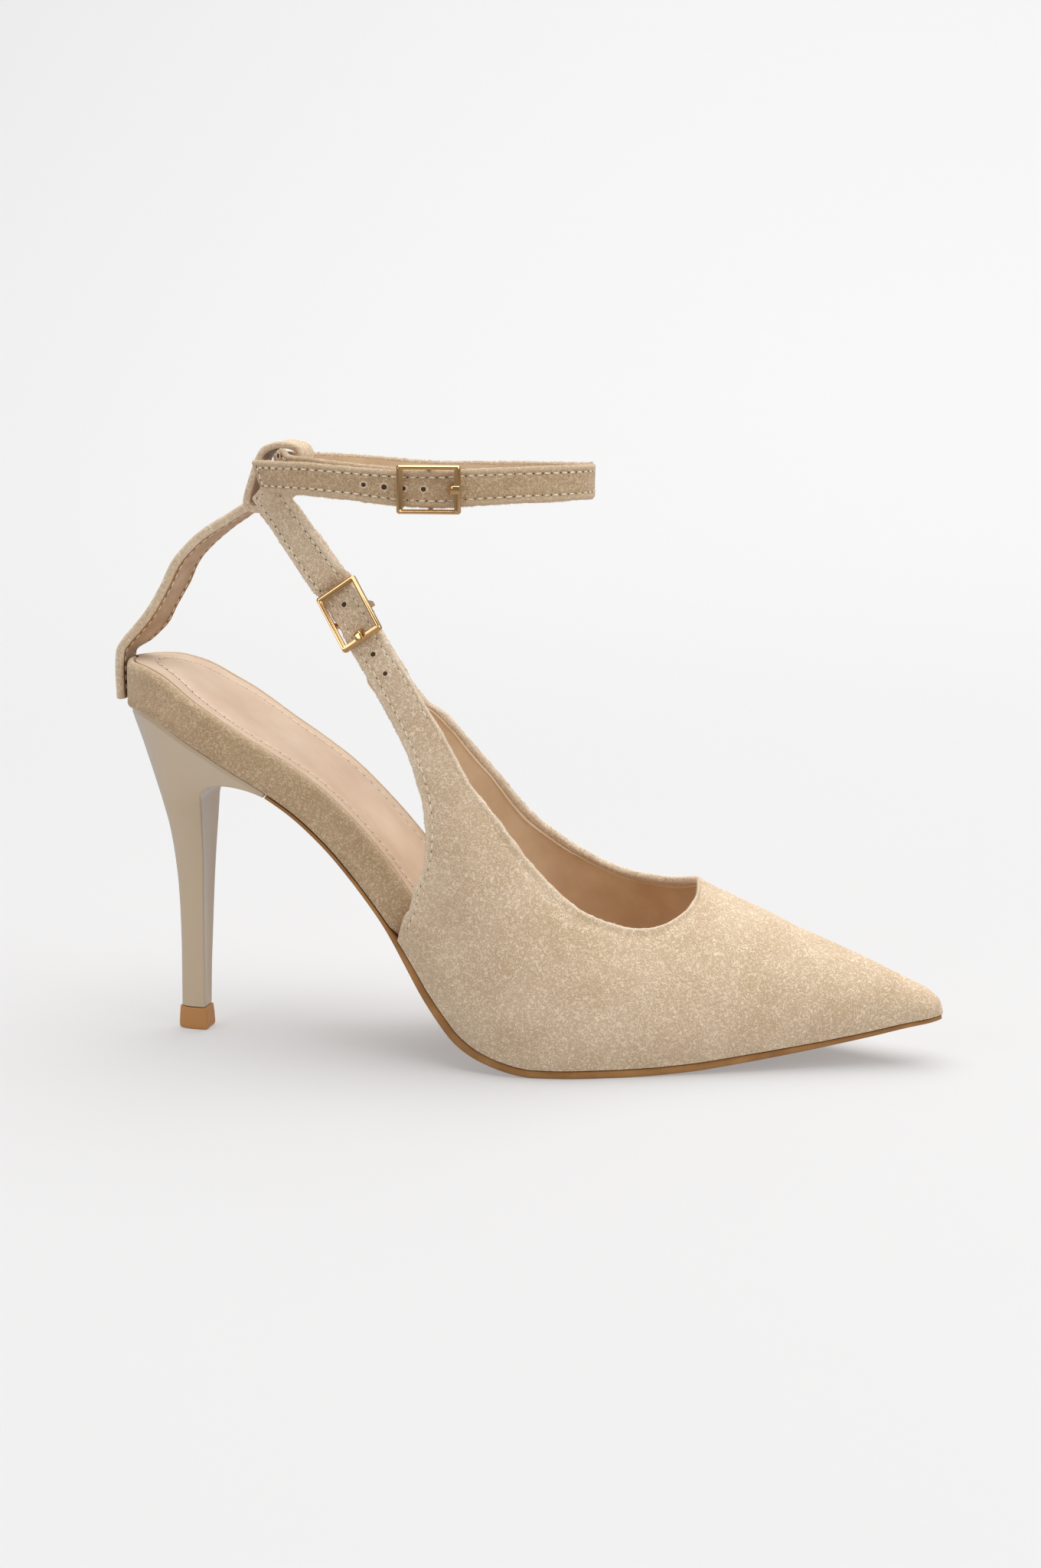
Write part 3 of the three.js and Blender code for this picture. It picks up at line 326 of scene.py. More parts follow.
@dataclass(frozen=True)
class Suede:
    """Buffed goatskin suede: a matt nap of short curled fibres that lie in worm-like tufts."""

    name: str = "suede_buffed_goatskin"
    tip: str = "#F3DFC4"
    hide: str = "#B89873"
    # The colour that rolled edges and roundings are blended towards: a painted highlight.
    edge_highlight: str = "#EEDDC6"
    tuft: float = 0.75  # the real tufts are finer; drawn as coarse as the picture can show
    fibre: float = 0.1 / 0.37  # real fibres lie 0.1 mm apart; drawn coarser, or they would not show
    blotch: float = 11.0
    uneven: float = 0.09
    depth: float = 0.16

    def build(self) -> bpy.types.Material:
        """Makes the material: the tufts give a fine grain, the blotches the uneven tone of buffed nap."""
        recipe = Recipe(self.name)
        place = recipe.add("TexCoord").outputs["Object"]
        tufts = recipe.add(
            "TexNoise",
            {"Vector": place, "Scale": 1.0 / (self.tuft * MM)}
            | {"Detail": 0.6, "Roughness": 0.4, "Distortion": 1.1},
        )
        off = recipe.add("Math", {0: tufts.outputs["Fac"], 1: 0.5}, operation="SUBTRACT")
        crest = recipe.add("Math", {0: off.outputs[0]}, operation="ABSOLUTE")
        curl = recipe.add(
            "MapRange",
            {"Value": crest.outputs[0], "From Min": 0.0, "From Max": 0.13, "To Min": 1.0, "To Max": 0.0},
            interpolation_type="SMOOTHSTEP",
        )
        fibre = recipe.add(
            "TexNoise", {"Vector": place, "Scale": 1.0 / (self.fibre * MM), "Detail": 2.0, "Roughness": 0.6}
        )
        height = recipe.add(
            "Math", {0: fibre.outputs["Fac"], 1: 0.55, 2: curl.outputs["Result"]}, operation="MULTIPLY_ADD"
        )
        blotch = recipe.add(
            "TexNoise",
            {"Vector": place, "Scale": 1.0 / (self.blotch * MM), "Detail": 3.0, "Roughness": 0.55},
        )
        lift = recipe.add(
            "MapRange",
            {"Value": blotch.outputs["Fac"], "From Min": 0.3, "From Max": 0.7}
            | {"To Min": -self.uneven, "To Max": self.uneven},
        )
        tone = recipe.add(
            "MapRange",
            {"Value": height.outputs[0], "From Min": 0.1, "From Max": 1.25, "To Min": 0.16, "To Max": 0.88},
        )
        share = recipe.add(
            "Math", {0: tone.outputs[0], 1: lift.outputs[0]}, operation="ADD", use_clamp=True
        )
        ground = recipe.add(
            "Mix", {0: share.outputs[0], 6: linear(self.hide), 7: linear(self.tip)}, data_type="RGBA"
        )
        # Blends towards the pale colour where the pale attribute is set: a painted highlight on rolled edges
        # and roundings.
        pale = recipe.add("Attribute", attribute_name="pale")
        colour = recipe.add(
            "Mix", {0: pale.outputs["Fac"], 6: ground.outputs[2], 7: linear(self.edge_highlight)}, data_type="RGBA"
        )
        bump = recipe.add(
            "Bump", {"Height": height.outputs[0], "Strength": 0.7, "Distance": self.depth * MM}
        )
        return recipe.shade(
            Base_Color=colour.outputs[2],
            Roughness=0.95,
            Specular_IOR_Level=0.2,
            Sheen_Weight=0.25,
            Sheen_Roughness=0.5,
            Sheen_Tint=linear("#F6F4F4"),
            Normal=bump.outputs["Normal"],
        )


@dataclass(frozen=True)
class Leather:
    """Aniline-dyed kid leather: smooth and faintly grained, with a low, broad sheen."""

    name: str
    light: str
    dark: str
    roughness: float = 0.5
    grain: float = 0.7
    depth: float = 0.03
    blotch: float = 16.0

    def build(self) -> bpy.types.Material:
        """Makes the material: the cloudy dye and the fine grain keep it from looking like plastic."""
        recipe = Recipe(self.name)
        place = recipe.add("TexCoord").outputs["Object"]
        cloud = recipe.add(
            "TexNoise",
            {"Vector": place, "Scale": 1.0 / (self.blotch * MM), "Detail": 4.0, "Roughness": 0.6},
        )
        share = recipe.add(
            "MapRange",
            {"Value": cloud.outputs["Fac"], "From Min": 0.32, "From Max": 0.68, "To Min": 0.0, "To Max": 1.0},
        )
        colour = recipe.add(
            "Mix", {0: share.outputs[0], 6: linear(self.dark), 7: linear(self.light)}, data_type="RGBA"
        )
        pores = recipe.add(
            "TexNoise", {"Vector": place, "Scale": 1.0 / (self.grain * MM), "Detail": 3.0, "Roughness": 0.6}
        )
        bump = recipe.add(
            "Bump", {"Height": pores.outputs["Fac"], "Strength": 0.5, "Distance": self.depth * MM}
        )
        return recipe.shade(
            Base_Color=colour.outputs[2],
            Roughness=self.roughness,
            Specular_IOR_Level=0.4,
            Normal=bump.outputs["Normal"],
        )


@dataclass(frozen=True)
class Lacquer:
    """Sprayed cellulose lacquer on the moulded heel: a smooth body colour under a wet clear coat."""

    name: str = "heel_lacquer_sprayed_gloss"
    colour: str = "#CCB699"

    def build(self) -> bpy.types.Material:
        """Makes the material: the clear coat gives the sharp, pale streak along the breast."""
        recipe = Recipe(self.name)
        return recipe.shade(
            Base_Color=linear(self.colour), Roughness=0.35, Coat_Weight=1.0, Coat_Roughness=0.06
        )


@dataclass(frozen=True)
class Gilt:
    """Light gold plating on polished die-cast zinc: a clean mirror, a little softened by wear."""

    name: str = "buckle_gold_plate_polished"
    colour: str = "#E9C08C"
    roughness: float = 0.1

    def build(self) -> bpy.types.Material:
        """Makes the material: polish shows as bright bevels beside dark brown reflections."""
        recipe = Recipe(self.name)
        return recipe.shade(Base_Color=linear(self.colour), Metallic=1.0, Roughness=self.roughness)


@dataclass(frozen=True)
class Plain:
    """A finish of one even colour: thread, rubber, or the dark of a needle hole."""

    name: str
    colour: str
    roughness: float = 0.7

    def build(self) -> bpy.types.Material:
        """Makes the material: flat and quiet, so that only its shape shows."""
        recipe = Recipe(self.name)
        return recipe.shade(Base_Color=linear(self.colour), Roughness=self.roughness, Specular_IOR_Level=0.3)


class Finishes:
    """Every finish of the shoe, made once."""

    def __init__(self) -> None:
        """Makes the materials."""
        self.suede = Suede().build()
        # A darker copy of the suede for the wrap and the ankle strap, whose faces lie in shade: painted
        # shade.
        self.suede_in_shade = Suede("suede_copy_in_shade", "#D8BE9D", "#9F7F5C", "#DEC8A9").build()
        self.lining = Leather("lining_leather_glazed_kid", "#E0C4A2", "#CCAA85").build()
        self.sock = Leather("sock_leather_glazed_kid", "#D8C0A8", "#C8AB90", 0.42, 0.5, 0.02, 22.0).build()
        # A darker copy of the lining for the stay, whose face turns away from the light: painted shade; the
        # creases are its bump.
        crease_and_shade_lining = Leather("stay_lining_creased_kid_in_shade", "#C4A78A", "#A98869", 0.55, 0.9, 0.12, 7.0)
        self.stay_lining_in_shade = crease_and_shade_lining.build()
        self.cut_edge = Leather("cut_leather_edge_inked", "#A87F50", "#8E6539", 0.6).build()
        self.resin = Leather("outsole_resin_burnished", "#B0804A", "#946636", 0.45, 0.9, 0.04, 9.0).build()
        self.lacquer = Lacquer().build()
        self.rubber = Plain("heel_tip_rubber_moulded", "#C28A53", 0.5).build()
        self.gilt = Gilt().build()
        self.thread = Plain("thread_polyester_bonded", "#EDDFC8", 0.7).build()
        self.shadow = Plain("needle_hole_shade", "#4A3827", 0.95).build()


# The last


@dataclass(frozen=True)
class Last:
    """The form that the shoe is pulled over, from a few sizes and the maker's tables."""

    seat_back: float = -16.6
    length: float = 225.2
    ball_width: float = 72.0
    seat_height: float = 92.2
    toe_spring: float = 11.2
    instep_rise: float = 44.1
    tread_top: float = 2.4
    seat_round: float = 25.0
    toe_round: float = 4.5
    wall: float = 1.8
    throat: float = 0.703
    belly_share: float = 0.16
    slope_reach: float = 3.0

    plan = Table(
        "at lateral medial",
        [
            (0, 0.683, 0.683), (0.1, 0.722, 0.722), (0.14, 0.711, 0.692), (0.207, 0.683, 0.622),
            (0.274, 0.672, 0.572), (0.34, 0.722, 0.583), (0.407, 0.844, 0.694), (0.473, 0.981, 0.861),
            (0.518, 1.028, 0.944), (0.562, 1.011, 0.983), (0.629, 0.9, 0.928), (0.695, 0.75, 0.797),
            (0.762, 0.6, 0.639), (0.829, 0.447, 0.481), (0.895, 0.294, 0.322), (0.949, 0.183, 0.194),
            (1, 0.089, 0.089),
        ],
    )
    profile = Table(
        "at arch spring",
        [
            (0, 1, 0), (0.029, 1, 0), (0.05, 0.99, 0), (0.082, 0.951, 0), (0.102, 0.921, 0),
            (0.157, 0.833, 0), (0.194, 0.777, 0), (0.231, 0.714, 0), (0.267, 0.633, 0),
            (0.306, 0.526, 0), (0.344, 0.408, 0), (0.383, 0.27, 0), (0.402, 0.198, 0),
            (0.423, 0.131, 0), (0.442, 0.081, 0), (0.462, 0.049, 0), (0.481, 0.029, 0),
            (0.5, 0.0145, 0), (0.518, 0.0045, 0), (0.532, 0, 0), (0.625, 0, 0), (0.66, 0, 0.012),
            (0.711, 0, 0.071), (0.744, 0, 0.152), (0.798, 0, 0.295), (0.85, 0, 0.446),
            (0.917, 0, 0.679), (0.953, 0, 0.83), (1, 0, 1),
        ],
    )
    section = Table(
        "at rise belly bulge round ridge",
        [
            (0.251, 3.456, 0.5, 0.069, 2.2, 0.083), (0.34, 3.399, 0.42, 0.08, 2.2, 0.083),
            (0.407, 2.975, 0.363, 0.089, 2.2, 0.083), (0.465, 2.299, 0.325, 0.087, 2.2, 0.083),
            (0.518, 1.796, 0.295, 0.083, 2.2, 0.083), (0.584, 1.329, 0.26, 0.073, 2.1, 0.083),
            (0.642, 1.146, 0.227, 0.061, 1.95, 0.083), (0.704, 1, 0.195, 0.054, 1.88, 0.083),
            (0.749, 0.871, 0.175, 0.049, 1.85, 0.075), (0.822, 0.658, 0.136, 0.038, 1.85, 0.055),
            (0.895, 0.448, 0.105, 0.031, 1.86, 0.033), (0.933, 0.325, 0.085, 0.026, 1.9, 0.022),
            (0.971, 0.2, 0.06, 0.02, 1.95, 0.01), (0.989, 0.128, 0.045, 0.015, 2, 0.004),
            (0.996, 0.086, 0.03, 0.012, 2, 0.001), (1, 0.009, 0.002, 0.011, 2, 0),
        ],
    )

    @property
    def toe(self) -> float:
        """X of the toe point."""
        return self.seat_back + self.length

    def share(self, x: Array | float) -> Array:
        """The share of the shoe's length at X."""
        return (np.asarray(x, dtype=float) - self.seat_back) / self.length

    def place(self, at: Array | float) -> Array:
        """X at a share of the shoe's length."""
        return self.seat_back + np.asarray(at, dtype=float) * self.length

    @staticmethod
    def round_end(distance: Array, radius: float) -> Array:
        """The share of full width that a round end leaves at a distance inside it."""
        left = 1.0 - np.clip(distance / radius, 0.0, 1.0)
        return np.sqrt(1.0 - left * left)

    def outline(self, x: Array, side: Side, inset: Array | float = 0.0) -> Array:
        """Half width of the sole's outline on one side, with an inset all round.

        Args:
            x: Places along the shoe.
            side: The side of the shoe.
            inset: How far inside the outline.

        Returns:
            The half width at each place.
        """
        x = np.asarray(x, dtype=float)
        half = self.plan.at(side.name.lower(), self.share(x)) * self.ball_width / 2.0
        back = self.round_end(x - self.seat_back - inset, self.seat_round)
        front = self.round_end(self.toe - inset - x, self.toe_round)
        return np.maximum(half - inset, 0.0) * back * front

    def edge_height(self, x: Array | float) -> Array:
        """Height of the line where the upper and the footbed meet the sole."""
        at = self.share(x)
        arch = self.profile.at("arch", at) * (self.seat_height - self.tread_top)
        return self.tread_top + arch + self.profile.at("spring", at) * self.toe_spring

    def over_edge(self, x: Array, y: Array, height: Array | float) -> Array:
        """Places over the edge line, measured along the line's own normal.

        Args:
            x: Places along the shoe.
            y: Places across it.
            height: Heights over the line.

        Returns:
            The points.
        """
        x, y, height = np.broadcast_arrays(*(np.asarray(part, dtype=float) for part in (x, y, height)))
        reach = self.slope_reach
        slope = (self.edge_height(x + reach) - self.edge_height(x - reach)) / (2.0 * reach)
        scale = 1.0 / np.sqrt(1.0 + slope * slope)
        return np.stack([x - slope * scale * height, y, self.edge_height(x) + scale * height], axis=-1)

    def point(self, at: Array, up: Array, side: Side, inset: float) -> Array:
        """Places on the last's side.

        Args:
            at: Shares of the shoe's length.
            up: Shares of the section, from the sole's edge to the ridge.
            side: The side of the shoe.
            inset: 0 for the outside, the wall's thickness for the inside.

        Returns:
            Points, one for each pair of shares.
        """
        at, up = np.broadcast_arrays(np.asarray(at, float), np.asarray(up, float))
        forward = np.clip((at - self.throat) / (1.0 - self.throat), 0.0, 1.0)
        tip_inset = 1.8 * inset
        x = self.place(at) - tip_inset * forward * forward
        half = self.ball_width / 2.0
        ends = self.round_end(self.toe - tip_inset - x, self.toe_round)
        width = np.maximum(self.plan.at(side.name.lower(), at) * half - inset, 0.0) * ends
        bulge = self.section.at("bulge", at) * half * ends
        rise = np.maximum(self.section.at("rise", at) * self.instep_rise - 1.1 * inset, 0.3)
        belly = np.minimum(self.section.at("belly", at) * self.instep_rise, 0.8 * rise)
        ridge = self.section.at("ridge", at) * half * ends
        power = 2.0 / self.section.at("round", at)
        low = np.clip(up / self.belly_share, 0.0, 1.0)
        angle = np.clip((up - self.belly_share) / (1.0 - self.belly_share), 0.0, 1.0) * math.pi / 2.0
        across = np.clip(np.cos(angle), 0.0, 1.0) ** power
        across = np.where(np.cos(angle) < 1e-6, 0.0, across)
        swell = width + bulge * np.sin(low * math.pi / 2.0)
        y = ridge + (int(side) * swell - ridge) * across
        z = self.edge_height(x) + belly * low + (rise - belly) * np.sin(angle) ** power
        return np.stack([x, y, z], axis=-1)


# Lines, bands and stitches


@dataclass
class Line:
    """A band's middle line: places, the direction across the band and the direction out of its face."""

    middle: Array
    across: Array
    normal: Array

    def __post_init__(self) -> None:
        """Measures along the line."""
        steps = np.linalg.norm(np.diff(self.middle, axis=0), axis=1)
        self.along = np.concatenate([[0.0], np.cumsum(steps)])

    @property
    def length(self) -> float:
        """The line's length."""
        return float(self.along[-1])

    def _read(self, values: Array, s: Array) -> Array:
        """Interpolates one set of vectors at distances along the line."""
        return np.stack([np.interp(s, self.along, values[:, k]) for k in range(3)], axis=-1)

    def frame(self, s: Array) -> tuple[Array, Array, Array]:
        """The middle, the direction across and the direction out of the face at distances along the line."""
        return self._read(self.middle, s), unit(self._read(self.across, s)), unit(self._read(self.normal, s))

    def spot(self, s: Array, across: Array | float, out: Array | float = 0.0) -> Array:
        """Places at distances along the line, across the band and out of its face."""
        middle, side, normal = self.frame(s)
        return middle + side * np.asarray(across)[..., None] + normal * np.asarray(out)[..., None]


class Stitching:
    """Gathers the places of stitches, holes and loose fibres, and makes them of one small shape each."""

    stitch = (0.82, 0.22, 0.17)  # half of a stitch's length, width and height
    uneven = (-0.06, 0.04)  # how far one stitch may lie below or above the next
    hole_sizes = {"hole": 0.21, "punch": 0.85, "lip": 0.85}
    fibre_depth = 0.12
    density = 6.0  # fibres in each millimetre of edge

    def __init__(self) -> None:
        """Starts with no rows."""
        self.places: dict[str, list[Array]] = {"stitch": [], "hole": [], "punch": [], "lip": [], "nap": []}
        self.draw = np.random.default_rng(11)

    def row(self, line: Array, facing: Array, lift: float, pitch: float = 2.55) -> None:
        """Adds one row of stitches.

        Args:
            line: Places along the seam.
            facing: The direction out of the leather at each place.
            lift: How far the thread stands out of the line.
            pitch: From one stitch to the next.
        """
        track = Line(line, facing, facing)
        count = max(2, round(track.length / pitch))
        step = track.length / count
        for kind, shift in (("stitch", 0.5), ("hole", 1.0)):
            s = (np.arange(count) + shift) * step
            middle, _, normal = track.frame(s)
            ahead, _, _ = track.frame(np.minimum(s + 0.3, track.length))
            behind, _, _ = track.frame(s - 0.3)
            along = unit(ahead - behind)
            out = lift + self.draw.uniform(*self.uneven, (count, 1)) if kind == "stitch" else 0.0
            self.places[kind].append(np.stack([middle + normal * out, along, normal], axis=1))

    def punch(self, spots: Array, along: Array, normal: Array) -> None:
        """Adds strap holes: a dark disc of painted shade where the hole is, and the low lip that the punch
        leaves round it.
        """
        for kind in ("punch", "lip"):
            self.places[kind].append(np.stack([spots, along, normal], axis=1))

    def fuzz(self, line: Array, away: Array, reach: float) -> None:
        """Adds the loose fibres of a raw suede edge.

        Args:
            line: Places along the edge.
            away: The direction off the edge at each place.
            reach: How far the fibres lie to each side of the line.
        """
        track = Line(line, away, away)
        count = int(track.length * self.density)
        middle, _, out = track.frame(self.draw.uniform(0.0, track.length, count))
        loose = self.draw.normal(size=(count, 3))
        spots = middle + unit(np.cross(loose, out)) * self.draw.uniform(0.0, reach, (count, 1))
        spots = spots - out * self.fibre_depth
        self.places["nap"].append(np.stack([spots, unit(out + 0.55 * loose), loose], axis=1))

    @classmethod
    def seed(cls, kind: str) -> bpy.types.Object:
        """The one shape that is repeated: a small rounded stitch or a flat round hole, drawn as a dark disc
        of painted shade, along X, facing Z.
        """
        skin = Skin()
        rings = []
        if kind == "stitch":
            long, wide, high = cls.stitch
            for u in (-1.0, -0.8, -0.35, 0.35, 0.8, 1.0):
                girth = (1.0 - abs(u) ** 2.6) ** 0.5
                turn = np.linspace(0.0, 2.0 * math.pi, 7)
                spot = [np.full(7, u * long), wide * girth * np.cos(turn), high * girth * np.sin(turn)]
                rings.append(np.stack(spot, -1) - np.array([0.0, 0.0, 0.1 * u * u]))
            skin.grid(np.array(rings))
        elif kind == "nap":
            turn = np.linspace(0.0, 2.0 * math.pi, 4)
            for reach, girth in ((0.0, 0.05), (0.25, 0.045), (0.5, 0.0)):
                spot = [np.full(4, reach), girth * np.cos(turn), 0.3 * reach**2 + girth * np.sin(turn)]
                rings.append(np.stack(spot, -1))
            skin.grid(np.array(rings))
            skin.cap(rings[0][:-1])
        else:
            turn = np.linspace(0.0, 2.0 * math.pi, 13)
            disc = ((-0.05, 0.0), (-0.05, 1.0), (0.03, 0.9), (0.03, 0.0))
            lip = ((-0.1, 0.95), (0.04, 0.85), (0.14, 1.05), (0.1, 1.3), (-0.1, 1.6), (-0.1, 0.95))
            size = cls.hole_sizes[kind]
            for height, girth in lip if kind == "lip" else disc:
                spot = [size * girth * np.cos(turn), 0.92 * size * girth * np.sin(turn), np.full(13, height)]
                rings.append(np.stack(spot, -1))
            skin.grid(np.array(rings))
        return skin.piece("seed_" + kind, [])

    @staticmethod
    def tree(name: str, seed: bpy.types.Object, material: bpy.types.Material) -> bpy.types.NodeTree:
        """The nodes that set the seed shape on every place.

        Args:
            name: The tree's name.
            seed: The shape to repeat.
            material: Its finish.

        Returns:
            A geometry tree with the input "Size" and the output geometry.
        """
        tree = bpy.data.node_groups.new(name, "GeometryNodeTree")
        tree.interface.new_socket("Geometry", in_out="INPUT", socket_type="NodeSocketGeometry")
        size = tree.interface.new_socket("Size", in_out="INPUT", socket_type="NodeSocketFloat")
        size.default_value = 1.0
        tree.interface.new_socket("Geometry", in_out="OUTPUT", socket_type="NodeSocketGeometry")

        add = partial(add_node, tree)
        start = add("NodeGroupInput")
        along = add("GeometryNodeInputNamedAttribute", {"Name": "along"}, data_type="FLOAT_VECTOR")
        facing = add("GeometryNodeInputNamedAttribute", {"Name": "facing"}, data_type="FLOAT_VECTOR")
        first = add("FunctionNodeAlignRotationToVector", {"Vector": along.outputs["Attribute"]}, axis="X")
        second = add(
            "FunctionNodeAlignRotationToVector",
            {"Rotation": first.outputs[0], "Vector": facing.outputs["Attribute"]},
            axis="Z",
            pivot_axis="X",
        )
        shape = add("GeometryNodeObjectInfo", {"Object": seed})
        uneven = add("FunctionNodeRandomValue", {2: 0.88, 3: 1.08, "Seed": 7}, data_type="FLOAT")
        scale = add("ShaderNodeMath", {0: uneven.outputs[1], 1: start.outputs["Size"]}, operation="MULTIPLY")
        put = add(
            "GeometryNodeInstanceOnPoints",
            {
                "Points": start.outputs["Geometry"],
                "Instance": shape.outputs["Geometry"],
                "Rotation": second.outputs[0],
                "Scale": scale.outputs[0],
            },
        )
        real = add("GeometryNodeRealizeInstances", {"Geometry": put.outputs[0]})
        painted = add("GeometryNodeSetMaterial", {"Geometry": real.outputs[0], "Material": material})
        add("NodeGroupOutput", {"Geometry": painted.outputs[0]})
        return tree

    def build(self, finishes: Finishes) -> None:
        """Makes the stitches and the needle holes, drawn as dark discs of painted shade, each as one plain
        mesh.
        """
        for kind, name, material in (
            ("stitch", "stitches", finishes.thread),
            # Needle holes and strap holes are flat dark discs: painted shade inside the holes.
            ("hole", "needle_holes", finishes.shadow),
            ("punch", "strap_holes", finishes.shadow),
            ("lip", "strap_hole_lips", finishes.suede),
            ("nap", "edge_fibres", finishes.suede),
        ):
            spots = np.concatenate(self.places[kind])
            mesh = bpy.data.meshes.new(name + "_places")
            mesh.from_pydata((spots[:, 0] * MM).tolist(), [], [])
            for i, key in ((1, "along"), (2, "facing")):
                held = mesh.attributes.new(key, "FLOAT_VECTOR", "POINT")
                held.data.foreach_set("vector", spots[:, i].astype(np.float32).reshape(-1))
            base = bpy.data.objects.new(name + "_places", mesh)
            bpy.context.scene.collection.objects.link(base)
            seed = self.seed(kind)
            repeat = base.modifiers.new("repeat", "NODES")
            repeat.node_group = self.tree(name, seed, material)
            sockets = repeat.node_group.interface.items_tree
            repeat[next(s.identifier for s in sockets if s.name == "Size")] = 1.0
            bpy.context.view_layer.update()
            ready = base.evaluated_get(bpy.context.evaluated_depsgraph_get())
            plain = bpy.data.meshes.new_from_object(ready)
            plain.name = name
            made = bpy.data.objects.new(name, plain)
            bpy.context.scene.collection.objects.link(made)
            for spare in (base, seed):
                bpy.data.objects.remove(spare)
            plain.shade_smooth()
            settle(made, "suede")


def band_marks(near: float = 3.4) -> Array:
    """Distances from an edge at which a stitched band needs columns, to draw its groove."""
    return np.array([0.0, 0.3, 0.6, 0.9, 1.2, 1.5, 1.8, 2.1, 2.4, 2.8, near])


@dataclass(frozen=True)
class Seam:
    """The soft channel that a row of stitches pulls into the leather."""

    inset: float = 1.9
    depth: float = 0.2
    reach: float = 0.5
    plump: float = 0.06

    def relief(self, distance: Array) -> Array:
        """How far the face stands out at distances from the edge."""
        dip = hump(distance, self.inset, self.reach)
        roll = hump(distance, 0.5 * self.inset, self.inset)
        return self.plump * roll - self.depth * dip


@dataclass(frozen=True)
class Band:
    """A strap of two leathers with rolled edges, swept along a line."""

    thickness: float = 1.8
    roll: float = 0.8
    nose: float = 0.5
    seam: Seam = Seam()
    ragged: float = 0.1

    def section(self, width: Array) -> tuple[Array, Array, Array]:
        """The ring of the band's section for each width.

        Args:
            width: The band's width at each station.

        Returns:
            Places across, depths and paleness, a painted highlight on the rolled edges, one row for each
            station.
        """
        half = np.asarray(width, dtype=float)[:, None] / 2.0
        marks = band_marks()[None, :]
        fit = np.minimum(1.0, (half - self.roll - 0.4) / marks.max())
        marks = marks * fit
        inner = np.linspace(0.0, 1.0, 9)[None, 1:-1]
        left = -half + self.roll + marks
        right = half - self.roll - marks[:, ::-1]
        between = left[:, -1:] + (right[:, :1] - left[:, -1:]) * inner
        face = np.concatenate([left, between, right], axis=1)
        gap = half - np.abs(face)
        out = self.seam.relief(gap)
        # Paler on the rolled edges and round the band's edge: a painted highlight.
        pale = 0.45 * hump(gap, self.roll, 0.5)
        turn = np.linspace(math.pi / 2.0, -math.pi / 2.0, 7)[1:-1][None, :]
        rounding = half - self.roll + self.roll * np.cos(turn)
        depth = self.thickness / 2.0 * (np.sin(turn) - 1.0) + 0.0 * half
        back = np.linspace(1.0, -1.0, 15)[None, :] * (half - self.roll)
        edge_highlight = 0.35 + 0.0 * rounding
        across = np.concatenate([face, rounding, back, -rounding[:, ::-1]], axis=1)
        deep = np.concatenate([out, depth, np.full_like(back, -self.thickness), depth[:, ::-1]], axis=1)
        edge_highlights = np.concatenate([pale, edge_highlight, 0.0 * back, edge_highlight], axis=1)
        return across, deep, edge_highlights

    def sweep(
        self,
        skin: Skin,
        line: Line,
        width: Callable[[Array], Array],
        start: float = 0.0,
        stop: float | None = None,
        pitch: float = 0.7,
        slant: float = 0.0,
        closed: bool = False,
        bend: Callable[[Array], Array] = lambda places: places,
        fold: int = 0,
    ) -> list[tuple[Array, Array]]:
        """Adds the band to a skin.

        Args:
            skin: Takes the faces.
            line: The band's middle line, on its outer face.
            width: Gives the width at distances along the line.
            start: Where the band starts along the line.
            stop: Where it ends; None for the line's end.
            pitch: From ring to ring.
            slant: How far the far end's edges are set apart along the line.
            closed: Whether the band runs back into itself.
            bend: Moves the finished places.
            fold: Columns of the back face that show the lining's inked fold.

        Returns:
            The places along each edge and the direction off it.
        """
        end = line.length if stop is None else stop
        count = max(8, round((end - start) / pitch))
        s = np.linspace(start, end, count + 1)
        shrink = np.zeros_like(s)
        if not closed:
            turn = np.linspace(0.0, math.pi / 2.0, 4)
            inset = self.nose * (1.0 - np.sin(turn))
            reach = self.nose * (1.0 - np.cos(turn))
            s = np.concatenate([start + reach, s[2:-2], end - reach[::-1]])
            shrink = np.concatenate([inset, np.zeros(count - 3), inset[::-1]])
        across, deep, edge_highlights = self.section(width(s))
        middle_depth = -self.thickness / 2.0
        tuck = 1.0 - 2.0 * shrink[:, None] / self.thickness
        deep = middle_depth + (deep - middle_depth) * tuck
        across = across * (1.0 - 2.0 * shrink / width(s))[:, None]
        skew = slant * smoothstep(s, end - 14.0, end)[:, None] * across / width(s)[:, None]
        where = s[:, None] + skew
        middle, side, normal = line.frame(where.reshape(-1))
        shape = where.shape + (3,)
        middle, side, normal = middle.reshape(shape), side.reshape(shape), normal.reshape(shape)
        places = middle + side * across[..., None] + normal * deep[..., None]
        uneven = ripple(places, 1.7, 5) * self.ragged + ripple(places, 14.0, 6) * 0.12
        at_edge = (np.abs(across) / width(s)[:, None] * 2.0) ** 4
        places = places + side * (uneven * np.sign(across) * at_edge)[..., None]
        places = places + normal * (0.1 * ripple(places, 9.0, 8) * (tuck**2))[..., None]
        if closed:
            places[-1] = places[0]
        places = bend(places)
        face = len(band_marks()) * 2 + 7
        ring = np.concatenate([places, places[:, :1]], axis=1)
        # The paleness carried to the faces is a painted highlight on the rolled edges.
        edge_highlight = np.concatenate([edge_highlights, edge_highlights[:, :1]], axis=1)
        lining = face + 5
        skin.grid(ring[:, :face], Face.OUTER, edge_highlight[:, :face])
        skin.grid(ring[:, face - 1 : lining + 1], Face.OUTER, edge_highlight[:, face - 1 : lining + 1])
        skin.grid(ring[:, lining : lining + 1 + fold], Face.EDGE)
        skin.grid(ring[:, lining + fold : lining + 15 - fold], Face.LINING)
        skin.grid(ring[:, lining + 14 - fold : lining + 15], Face.EDGE)
        skin.grid(ring[:, lining + 14 :], Face.OUTER, edge_highlight[:, lining + 14 :])
        if not closed:
            skin.cap(places[0])
            skin.cap(places[-1][::-1])
        flank = (face + 2, lining + 17)
        return [(places[:, k], unit(places[:, k] - places[:, face // 2])) for k in flank]


# The upper


